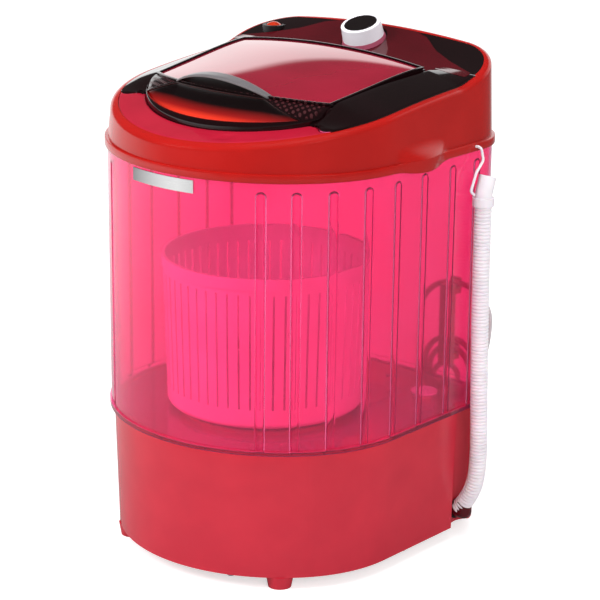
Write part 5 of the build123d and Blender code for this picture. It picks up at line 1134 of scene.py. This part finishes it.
    def build_dish(self, finishes: Finishes) -> None:
        """Finger dish with a round bead along its rim, where the frame is cut away.

        The apron is sunk by depth times (1 - (x / half) squared) to the power 0.7 times (4 s (1 - s)) to the power
        0.5, where s runs from the rim to the ring in steps that are shorter near both.
        """
        x = np.linspace(-self.dish_half, self.dish_half, self.columns)[None, :]
        share = 0.5 - 0.5 * np.cos(math.pi * np.linspace(0.0, 1.0, 49))[:, None]
        low = self.dish_top(x)
        points = self.apron(x, low + (self.ring_from - low) * share)
        depth = self.dish_depth * (1.0 - (x / self.dish_half) ** 2) ** 0.7 * (4.0 * share * (1.0 - share)) ** 0.5
        points[..., 2] += self.dish_proud - depth
        dish = make_piece("finger_dish", [Grid(points)], Lay.OPEN, inside=(0.0, 0.0, 460.0), wall=self.thin_wall)
        finish_piece(dish, finishes["scoop"], "lid", "dark_red", "lid_scoop")
        edge = self.apron(x, self.dish_top(x))[0] + np.array([0.0, 0.0, self.rim_lift])
        rim = make_piece("dish_rim", [tube_along(edge, np.full(len(edge), self.rim_radius), 14)], sharp=80.0)
        finish_piece(rim, finishes["smoke"], "lid", "smoke")

    def build_hood(self, finishes: Finishes) -> None:
        """Hood that carries the strip: it swells from the window to the strip and falls to the dish's rim.

        Over shares q of the way, the height behind the crest grows with q to the power swell. Ahead of the crest
        the fall is straight in height, and the plan runs with q squared.
        """
        x = np.linspace(-self.strip_half, self.strip_half, 81)[None, :]
        taper = np.sqrt(1.0 - (x / (self.strip_half + 2.0)) ** 2)
        crest = bow(self.strip_half, self.strip_low, self.strip_high, x) - 1.0
        middle = self.shoulder_y(x) + self.strip_back
        ends, more = self.hood_foot
        foot_y = middle + ends + more * taper
        foot_z = ROOFS.lid(x, foot_y) - 0.6
        q = np.linspace(0.0, 1.0, 13)[:, None]
        behind = points_of(x, foot_y + (middle - foot_y) * q, foot_z + (crest - foot_z) * q**self.hood_swell)
        rim = self.apron(x, self.dish_top(x))
        ahead = points_of(x, middle + (rim[..., 1] - middle) * q**2, crest + (rim[..., 2] + 0.3 - crest) * q)
        skin = Grid(np.concatenate([behind, ahead[1:]]))
        hood = make_piece("finger_hood", [skin], Lay.OPEN, inside=BELOW, wall=self.thin_wall)
        finish_piece(hood, finishes["hood"], "lid", "smoke")

    def build_strip(self, finishes: Finishes) -> None:
        """Arched strip over the dish: a squarish oval section carried along the arch.

        The section is half width and thickness times the cosine and sine of an angle, each to the power 0.5 with its
        sign kept, and it leans by a share of the half width. The half width grows from the ends to the middle with
        1 - (x / half) squared.
        """
        half, turn = self.strip_half, np.linspace(0.0, 2.0 * math.pi, 28, endpoint=False)[None, :]
        x = np.linspace(-half, half, 81)[:, None]
        lift = bow(half, self.strip_low, self.strip_high, x)
        narrow, wide = self.strip_width
        width = narrow + (wide - narrow) * (1.0 - (x / half) ** 2)
        cos, sin = np.cos(turn), np.sin(turn)
        y = self.shoulder_y(x) + self.strip_back + width * np.sign(cos) * np.abs(cos) ** 0.5
        rise = self.strip_thick * np.sign(sin) * np.abs(sin) ** 0.5
        body = points_of(x, y, lift + rise + self.strip_lean * width * cos)
        caps = [np.repeat(body[k].mean(axis=0)[None, None], body.shape[1], axis=1) for k in (0, -1)]
        grid = Grid(np.concatenate([caps[0], body, caps[1]]), wrap_columns=True)
        strip = make_piece("handle_strip", [grid])
        finish_piece(strip, finishes["strip"], "lid", "silver", "lid_handle")


@dataclass
class Sill:
    """Crescent in front of the lid, with a shallow latch pad, and an S-shaped line at each end.

    Its rows are shares of the way from the lip to the seam, and its columns run from -1 to 1 across.
    """

    inner_x: float = 112.0
    outer_station: float = 187.0
    sway: float = 4.0
    sway_from: float = 0.8
    sunk: float = 0.4
    edge_drop: float = 0.8
    edge_share: float = 0.08
    pad_x: float = 52.0
    pad_half: Pair = (9.0, 0.22)
    pad_soft: float = 0.25
    pad_depth: float = 0.5
    wall: float = 2.4

    def end_line(self, share: np.ndarray) -> np.ndarray:
        """Plan points of an end: straight from the lip to the seam, swayed by sway times sin(2 pi share)."""
        lid = Lid()
        start = np.array([self.inner_x, float(lid.lip_y(np.array(self.inner_x)))])
        ox, oy = PLAN.at(np.array([self.outer_station]), SEAM_INSET)
        end = np.array([ox[0], oy[0]])
        line = start + (end - start) * share[:, None]
        line[:, 1] += self.sway * np.sin(2.0 * math.pi * share)
        return line

    def build(self, finishes: Finishes) -> None:
        """Make the crescent on the front roof: it is sunk a little, and more so at its edges."""
        u = np.linspace(-1.0, 1.0, 121)
        x_in = self.inner_x * u
        inner = np.column_stack([x_in, Lid().lip_y(x_in) - 0.5])
        outer = np.column_stack(PLAN.at(self.outer_station * u + 1e-6, SEAM_INSET - SEAM_LAP))
        share = np.linspace(0.0, 1.0, 17)
        x, y = between(inner, outer, share)
        ends = np.clip((np.abs(u) - self.sway_from) / (1.0 - self.sway_from), 0.0, 1.0) ** 2
        share = share[:, None]
        y = y + self.sway * np.sin(2.0 * math.pi * share) * ends
        edge = np.clip(np.minimum(share, 1.0 - share) / self.edge_share, 0.0, 1.0)
        z = ROOFS.front(y) - self.sunk - self.edge_drop * (1.0 - edge) ** 2
        pad_x, pad_share = self.pad_half
        out = np.maximum(np.abs(x - self.pad_x) / pad_x, np.abs(share - 0.5) / pad_share)
        pad = np.clip(1.0 - out, 0.0, self.pad_soft) / self.pad_soft
        skin = level_grid(x, y, z - self.pad_depth * pad)
        sill = make_piece("front_crescent", [skin], Lay.OPEN, inside=BELOW, wall=self.wall)
        finish_piece(sill, finishes["sill"], "casing", "dark_red", "front_sill")


@dataclass
class Deck:
    """Smoked deck: bands beside the lid, ramps, rear deck, the walls of the lid's opening and its ledge."""

    gap: float = 0.6
    side_x: float = 128.1
    skirt: float = 6.0
    band_start: float = -68.4
    band_slant: float = 0.095
    band_rise: float = 38.0
    lug_half: float = 2.0
    lug_foot: Pair = (0.0, -9.0)
    lug_off: float = 9.6
    wall: float = 2.2

    def band_z(self, x: np.ndarray, y: np.ndarray) -> np.ndarray:
        """Height of the bands: they rise from a slanted line at the sill's end to their full crown."""
        past = y - self.band_start + self.band_slant * (np.abs(x) - Sill().inner_x)
        share = smooth_step(0.0, self.band_rise, past)
        full = ROOFS.strip(x, y)
        return np.where(y < 0.0, ROOFS.front(y) + (full - ROOFS.front(y)) * share, full)

    def side(self, side: float) -> list[Grid]:
        """Band and ramp on one side, with the riser behind the lid and the wall down into the opening."""
        lid, sill = Lid(), Sill()
        share = self.shares()
        front = sill.end_line(share)
        lip_x = np.linspace(sill.inner_x, lid.corner_x, 9)
        lip = np.column_stack([lip_x, lid.lip_y(lip_x)])
        run = np.linspace(lid.corner_y, lid.rear_y + self.gap, 60)
        edge_x = lid.corner_x + (lid.rear_x - lid.corner_x) * (run - lid.corner_y) / (lid.rear_y - lid.corner_y)
        beside = np.column_stack([edge_x + self.gap, run])
        rear = np.column_stack([np.full(12, self.side_x), np.linspace(lid.rear_y + 2.0, ROOFS.ramp_end, 12)])
        inner = np.concatenate([lip, beside, rear])
        wanted = np.concatenate([np.linspace(front[-1, 1], lid.corner_y, 10)[:-1], run, rear[:, 1]])
        stations = np.linspace(sill.outer_station, PLAN.breaks()[3], 400)
        ox, oy = PLAN.at(stations, SEAM_INSET - SEAM_LAP)
        outer = np.column_stack([np.interp(wanted, oy, ox), wanted])
        x, y = between(inner, outer, share)
        y[:, 0] = front[:, 1]
        z = self.band_z(x, y)
        z = z + (ROOFS.edge(x[-1], y[-1]) - z[-1])[None, :] * share[:, None] ** 3
        top = level_grid(x * side, y, z)
        skirt = drop_wall(top.points[-1], top.points[-1][:, 2] - self.skirt)
        in_x, in_y = inner.T
        line = np.column_stack([in_x * side, in_y, self.band_z(in_x, in_y)])
        foot = np.where(in_y > lid.rear_y + 1.0, ROOFS.rear(in_x, in_y), lid.foot_z(in_y)) - 1.0
        return [top, skirt, drop_wall(line, np.minimum(foot, line[:, 2] - 0.2))]

    def shares(self) -> np.ndarray:
        """Places across a band, closer together towards the seam: sin of equal steps of angle."""
        return np.sin(np.linspace(0.0, math.pi / 2.0, 15))

    def rear(self) -> list[Grid]:
        """Rear deck: the part behind the lid, and behind that one skin over the whole width."""
        lid = Lid()
        middle = self.side_x * np.linspace(-1.0, 1.0, 97)
        corner, radius = PLAN.half_width - PLAN.corner, PLAN.corner - SEAM_INSET + SEAM_LAP
        flank = self.side_x + (corner + radius - self.side_x) * self.shares()[1:]
        wide = np.concatenate([-flank[::-1], middle, flank])[None, :]
        past = np.clip(np.abs(wide) - corner, 0.0, None)
        back = PLAN.back - PLAN.corner + np.sqrt(np.clip(radius**2 - past**2, 0.0, None))
        front, start = lid.rear_y + self.gap, ROOFS.ramp_end
        y = start + (back - start) * np.linspace(0.0, 1.0, 29)[:, None]
        near_y = front + (start - front) * np.linspace(0.0, 1.0, 12)[:, None] + 0.0 * middle[None, :]
        near_x = middle[None, :] + 0.0 * near_y
        near = level_grid(near_x, near_y, ROOFS.rear(near_x, near_y))
        far_x = wide + 0.0 * y
        far = level_grid(far_x, y, ROOFS.rear(far_x, y))
        edge = drop_wall(near.points[0], lid.foot_z(np.array(front)) - 1.0)
        return [near, far, edge, drop_wall(far.points[-1], far.points[-1][:, 2] - self.skirt)]

    def shelf(self) -> Grid:
        """Ledge under the lid's edge: rows from the opening's wall inwards, on the plane under the lid."""
        lid = Lid()
        outer = lid.outline(False)
        front = outer[:, 1] < lid.corner_y + 0.01
        lip = np.column_stack([outer[:, 0], lid.lip_y(outer[:, 0]) + 2.0])
        outer = np.where(front[:, None], lip, outer * 1.004)
        x, y = between(outer, outer * 0.93, np.linspace(0.0, 1.0, 4))
        grid = level_grid(x, y, lid.foot_z(y) - 1.2)
        grid.wrap_columns = True
        return grid

    def build(self, finishes: Finishes) -> None:
        """Make the deck as one skin with a wall."""
        grids = [*self.side(1.0), *self.side(-1.0), *self.rear(), self.shelf()]
        deck = make_piece("smoked_deck", grids, Lay.OPEN, inside=(0.0, 20.0, 430.0), sharp=35.0)
        thicken(deck, self.wall)
        finish_piece(deck, finishes["smoke"], "casing", "smoke", "deck")
        lid = Lid()
        spots = [side * (lid.hinge_x + off) for side in (1.0, -1.0) for off in (-self.lug_off, self.lug_off)]
        lugs = make_piece(
            "hinge_lugs",
            [hinge_block(x, self.lug_half, self.lug_foot, lid.hinge_y, lid.hinge_z) for x in spots],
            sharp=30.0,
            parts=True,
        )
        finish_piece(lugs, finishes["smoke"], "casing", "smoke")


@dataclass
class Collar:
    """Upper housing: seam wall, rolled top edge, drafted wall, flange, and a smooth carry grip on each side."""

    foot: float = 443.3
    flange_top: float = 452.5
    low_inset: float = 3.7
    high_inset: float = 6.5
    roll: float = 6.0
    wall: float = 2.4
    grip_y: float = 38.0
    grip_half: float = 45.0
    grip_proud: float = 9.8
    grip_drop: float = 5.0
    grip_fade: Pair = (450.0, 468.0)
    lip_back: float = 0.4
    lip_soft: float = 1.5
    rolled_top: tuple[Pair, ...] = ((1.0, 452.5), (0.3, 452.2), (0.0, 451.5))
    rolled_foot: tuple[Pair, ...] = ((0.0, 1.2), (0.3, 0.4), (1.0, 0.0), (5.5, 0.0))

    def hood(self, station: np.ndarray) -> np.ndarray:
        """Share of the grip at each station: (1 - u squared) to the power 1.5, u running from its middle."""
        u = (np.abs(station) - PLAN.breaks()[2] - self.grip_y) / self.grip_half
        return np.clip(1.0 - u * u, 0.0, 1.0) ** 1.5

    def row(
        self, station: np.ndarray, inset: np.ndarray | float, drop: float, height: np.ndarray | float | None = None
    ) -> np.ndarray:
        """Points at an inset, a drop below the top edge, or at a height of their own."""
        x, y = PLAN.at(station, inset + 0.0 * station)
        z = ROOFS.edge(np.abs(x), y) - drop if height is None else height + 0.0 * x
        return points_of(x, y, z)

    def build(self, finishes: Finishes) -> None:
        """Make the housing as rows of points all round, from the seam out and down to the flange's underside.

        The rows are the seam wall, a quarter round at the top edge, the drafted wall that swells over the grips,
        and the flange's rolled top and foot, each given by insets and heights.
        """
        station = PLAN.stations(3.5)
        hood = self.hood(station)
        rows = [self.row(station, SEAM_INSET, 12.0), self.row(station, SEAM_INSET, 0.6)]
        start = SEAM_INSET - 0.3
        for turn in np.linspace(0.0, math.pi / 2.0, 8):
            inset = start - (start - self.high_inset) * math.sin(turn)
            rows.append(self.row(station, inset, self.roll * (1.0 - math.cos(turn))))
        top = rows[-1][:, 2]
        for share in np.linspace(0.06, 1.0, 18):
            height = top + (self.flange_top - top) * share
            inset = self.high_inset + (self.low_inset - self.high_inset) * share
            fade = 1.0 - smooth_step(*self.grip_fade, height)
            rows.append(self.row(station, inset - self.grip_proud * hood * fade, 0.0, height))
        reach = self.low_inset - self.grip_proud * hood
        under = self.foot - self.grip_drop * hood
        for inset, height in self.rolled_top:
            edge = soft_min(inset + 0.0 * hood, reach - self.lip_back, self.lip_soft)
            rows.append(self.row(station, edge, 0.0, height))
        outer = soft_min(0.0 * hood, reach - self.lip_back, self.lip_soft)
        for inset, height in self.rolled_foot:
            rows.append(self.row(station, outer + inset, 0.0, under + height))
        collar = make_piece(
            "collar_shell",
            [Grid(np.stack(rows), wrap_columns=True)],
            Lay.OPEN,
            inside=(0.0, 20.0, 470.0),
            wall=self.wall,
            sharp=40.0,
        )
        finish_piece(collar, finishes["red_shell"], "casing", "red_shell", "collar")


# CAD parts that keep their shape

DRESS = {
    "red_shell": ("cord_cleat",),
    "red_base": ("base_housing", "bottom_cover", "feet"),
    "dark_red": ("control_panel", "drain_gland"),
    "hood": ("knob_cap",),
    "tub_pink": ("tub",),
    "basket_pink": ("spin_basket", "basket_hub"),
    "skirt": ("knob_skirt",),
    "white": ("timer_knob", "pulsator", "drain_strainer"),
    "hose": ("hose_hook", "hose_nozzle"),
    "black": ("timer", "inlet_socket"),
    "orange": ("inlet_cap",),
    "badge": ("badge_plate",),
    "silver": ("capacitor",),
    "steel": (
        "cover_screws", "hinge_pins", "timer_shaft", "motor_bracket", "motor_bolts", "motor_shaft", "pulley_nut",
        "drive_shaft", "housing_screws", "upper_bearing", "lower_bearing", "pulsator_screw", "capacitor_clamp",
    ),
    "aluminium": ("motor_pulley", "driven_pulley", "bearing_housing"),
    "motor_paint": ("motor",),
    "rubber": ("collar_seal", "drive_belt", "shaft_seal", "drain_pipe"),
    "lead": ("cord_relief", "power_plug"),
    "brass": ("plug_pins",),
}  # fmt: skip


def dress_nodes(frame: dict, finishes: Finishes) -> None:
    """Give every CAD node that still shows its finish."""
    for key, nodes in DRESS.items():
        for node in nodes:
            for held in frame["nodes"][node].material_slots:
                held.material = finishes[key]
    LOG.info("dressed %d nodes", sum(len(nodes) for nodes in DRESS.values()))


# Studio


def seen_plainly(tree: Tree, path: bpy.types.Node) -> Socket:
    """1 for rays from the camera and for rays that have come through a clear part, and 0 for the rest."""
    either = {"operation": "ADD", "use_clamp": True}
    rays = {"in_0": path.outputs["Is Camera Ray"], "in_1": path.outputs["Is Transmission Ray"]}
    return add_node(tree, "Math", either, **rays).outputs["Value"]


@dataclass(frozen=True)
class Lamp:
    """Square soft box: its place and what it points at in metres, its side in metres and its power in watts."""

    name: str
    spot: Spot
    size: float
    power: float
    aim: Spot = (0.0, 0.0, 0.3)

    def hang(self) -> None:
        """Place the lamp. Glossy parts don't see it; they see the backdrop and the floor's shine instead."""
        data = bpy.data.lights.new(self.name, "AREA")
        data.shape, data.size, data.energy = "SQUARE", self.size, self.power
        lamp = new_object(self.name, data)
        lamp.location = self.spot
        lamp.rotation_euler = (Vector(self.aim) - Vector(self.spot)).to_track_quat("-Z", "Y").to_euler()
        lamp.visible_glossy = False


LAMPS = (
    Lamp("key_box", (-1.5, -2.1, 1.9), 1.3, 60.0),
    Lamp("fill_box", (2.4, -1.2, 1.5), 1.2, 30.0),
    Lamp("top_box", (0.3, -0.3, 2.7), 1.6, 30.0),
)


@dataclass
class Studio:
    """Camera at the photograph's place, pale floor, soft boxes and an even pale world.

    The pairs are values at the low and the high end of a fade, and its places are in metres or in parts of a
    direction.
    """

    eye: Spot = (1584.3, -1836.9, 1009.5)
    aim: Spot = (22.87, 30.0, 269.16)
    lens: float = 140.13
    sensor: float = 36.0
    roll: float = 0.65
    clip: Pair = (0.1, 100.0)
    floor_half: float = 30000.0
    floor_colour: str = "D8D8D8"
    floor_in_gloss: str = "707070"
    floor_level: float = 0.62
    shine_x: Pair = (0.2, -1.6)
    shine: Pair = (0.1, 1.6)
    world_level: float = 0.62
    ceiling: Spot = (-0.38, -0.325, 1.0)
    ceiling_edge: Pair = (0.4, 0.365)
    away: Spot = (-0.8, 0.6, 0.0)
    away_edge: Pair = (-0.1, 0.4)
    backdrop: Pair = (0.07, 1.4)

    def build(self) -> None:
        """Place the camera, the floor, the lamps and the world."""
        self.place_camera()
        self.lay_floor()
        for lamp in LAMPS:
            lamp.hang()
        self.light_world()

    def place_camera(self) -> None:
        """Camera whose frame axes are built from its eye, its aim and a small roll."""
        eye, aim = (Vector(place(np.array(spot, float))) for spot in (self.eye, self.aim))
        ahead = (aim - eye).normalized()
        right = ahead.cross(Vector((0.0, 0.0, 1.0))).normalized()
        over = right.cross(ahead)
        cos, sin = math.cos(math.radians(self.roll)), math.sin(math.radians(self.roll))
        across, upward = right * cos + over * sin, over * cos - right * sin
        data = bpy.data.cameras.new("photo_camera")
        data.lens, data.sensor_width = self.lens, self.sensor
        data.clip_start, data.clip_end = self.clip
        camera = new_object("photo_camera", data)
        camera.matrix_world = Matrix.Translation(eye) @ Matrix((across, upward, -ahead)).transposed().to_4x4()
        bpy.context.scene.camera = camera

    def lay_floor(self) -> None:
        """Plain floor: white for the camera and through clear parts, with the shadow kept.

        Glossy parts see it grey, with a shine that grows to the left.
        """
        half = self.floor_half * MM
        corners = [(-half, -half, 0.0), (half, -half, 0.0), (half, half, 0.0), (-half, half, 0.0)]
        mesh = bpy.data.meshes.new("floor")
        mesh.from_pydata(corners, [], [(0, 1, 2, 3)])
        floor = new_object("floor", mesh)
        material = new_material("studio_floor")
        tree = material.node_tree
        path = add_node(tree, "LightPath")
        in_gloss = path.outputs["Is Glossy Ray"]
        shades = {"stops": ((0.0, self.floor_colour), (1.0, self.floor_in_gloss))}
        shade = add_node(tree, "ValToRGB", shades, Fac=in_gloss)
        matt = add_node(tree, "BsdfDiffuse", Color=shade.outputs["Color"])
        spot = add_node(tree, "TexCoord").outputs["Object"]
        x = add_node(tree, "SeparateXYZ", Vector=spot).outputs["X"]
        (low, high), (dull, bright) = self.shine_x, self.shine
        ends = {"From Min": low, "From Max": high, "To Min": dull, "To Max": bright}
        left = add_node(tree, "MapRange", ends, Value=x).outputs["Result"]
        shine = add_node(tree, "Math", {"operation": "MULTIPLY"}, in_0=left, in_1=in_gloss).outputs["Value"]
        every = add_node(tree, "Math", {"operation": "ADD"}, in_0=seen_plainly(tree, path), in_1=shine)
        dim = {"operation": "MULTIPLY", "in_1": self.floor_level}
        level = add_node(tree, "Math", dim, in_0=every.outputs["Value"]).outputs["Value"]
        glow = add_node(tree, "Emission", {"Color": WHITE}, Strength=level)
        both = add_node(tree, "AddShader", in_0=matt.outputs["BSDF"], in_1=glow.outputs["Emission"])
        add_node(tree, "OutputMaterial", Surface=both.outputs["Shader"])
        mesh.materials.append(material)

    def light_world(self) -> None:
        """Even pale world that glossy surfaces see as a bright backdrop under a dark ceiling.

        A direction belongs to the backdrop where its product with the ceiling's direction is low and where it
        points away, to the back or to the left, both softly. The camera and clear parts see plain white.
        """
        world = bpy.data.worlds.new("studio_world")
        world.use_nodes = True
        tree = world.node_tree
        tree.nodes.clear()
        path = add_node(tree, "LightPath")
        spot = add_node(tree, "TexCoord").outputs["Generated"]
        parts = []
        for direction, edge in ((self.ceiling, self.ceiling_edge), (self.away, self.away_edge)):
            along = add_node(tree, "VectorMath", {"operation": "DOT_PRODUCT", "in_1": direction}, Vector=spot)
            ends = {"From Min": edge[0], "From Max": edge[1]}
            parts.append(add_node(tree, "MapRange", ends, Value=along.outputs["Value"]).outputs["Result"])
        share = add_node(tree, "Math", {"operation": "MULTIPLY"}, in_0=parts[0], in_1=parts[1]).outputs["Value"]
        dull, bright = self.backdrop
        level = add_node(tree, "MapRange", {"To Min": dull, "To Max": bright}, Value=share).outputs["Result"]
        shine = add_node(tree, "Background", {"Color": WHITE}, Strength=level).outputs["Background"]
        soft, plain = (
            add_node(tree, "Background", {"Color": WHITE, "Strength": strength}).outputs["Background"]
            for strength in (self.world_level, 1.0)
        )
        gloss = add_node(tree, "MixShader", in_0=path.outputs["Is Glossy Ray"], in_1=soft, in_2=shine)
        plainly = seen_plainly(tree, path)
        both = add_node(tree, "MixShader", in_0=plainly, in_1=gloss.outputs["Shader"], in_2=plain)
        add_node(tree, "OutputWorld", Surface=both.outputs["Shader"])
        bpy.context.scene.world = world


def main() -> None:
    """Load the frame, build every sub-assembly around it and light it."""
    logging.basicConfig(level=logging.INFO, format="%(name)s: %(message)s")
    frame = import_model()
    bpy.context.view_layer.update()
    bpy.context.scene.view_settings.view_transform = "Standard"
    finishes = build_finishes()
    Studio().build()
    MainsLead().build(finishes)
    DrainHose().build(finishes)
    Lid().build(finishes)
    Sill().build(finishes)
    Deck().build(finishes)
    Collar().build(finishes)
    dress_nodes(frame, finishes)
    bpy.context.view_layer.update()


if __name__ == "__main__":
    main()
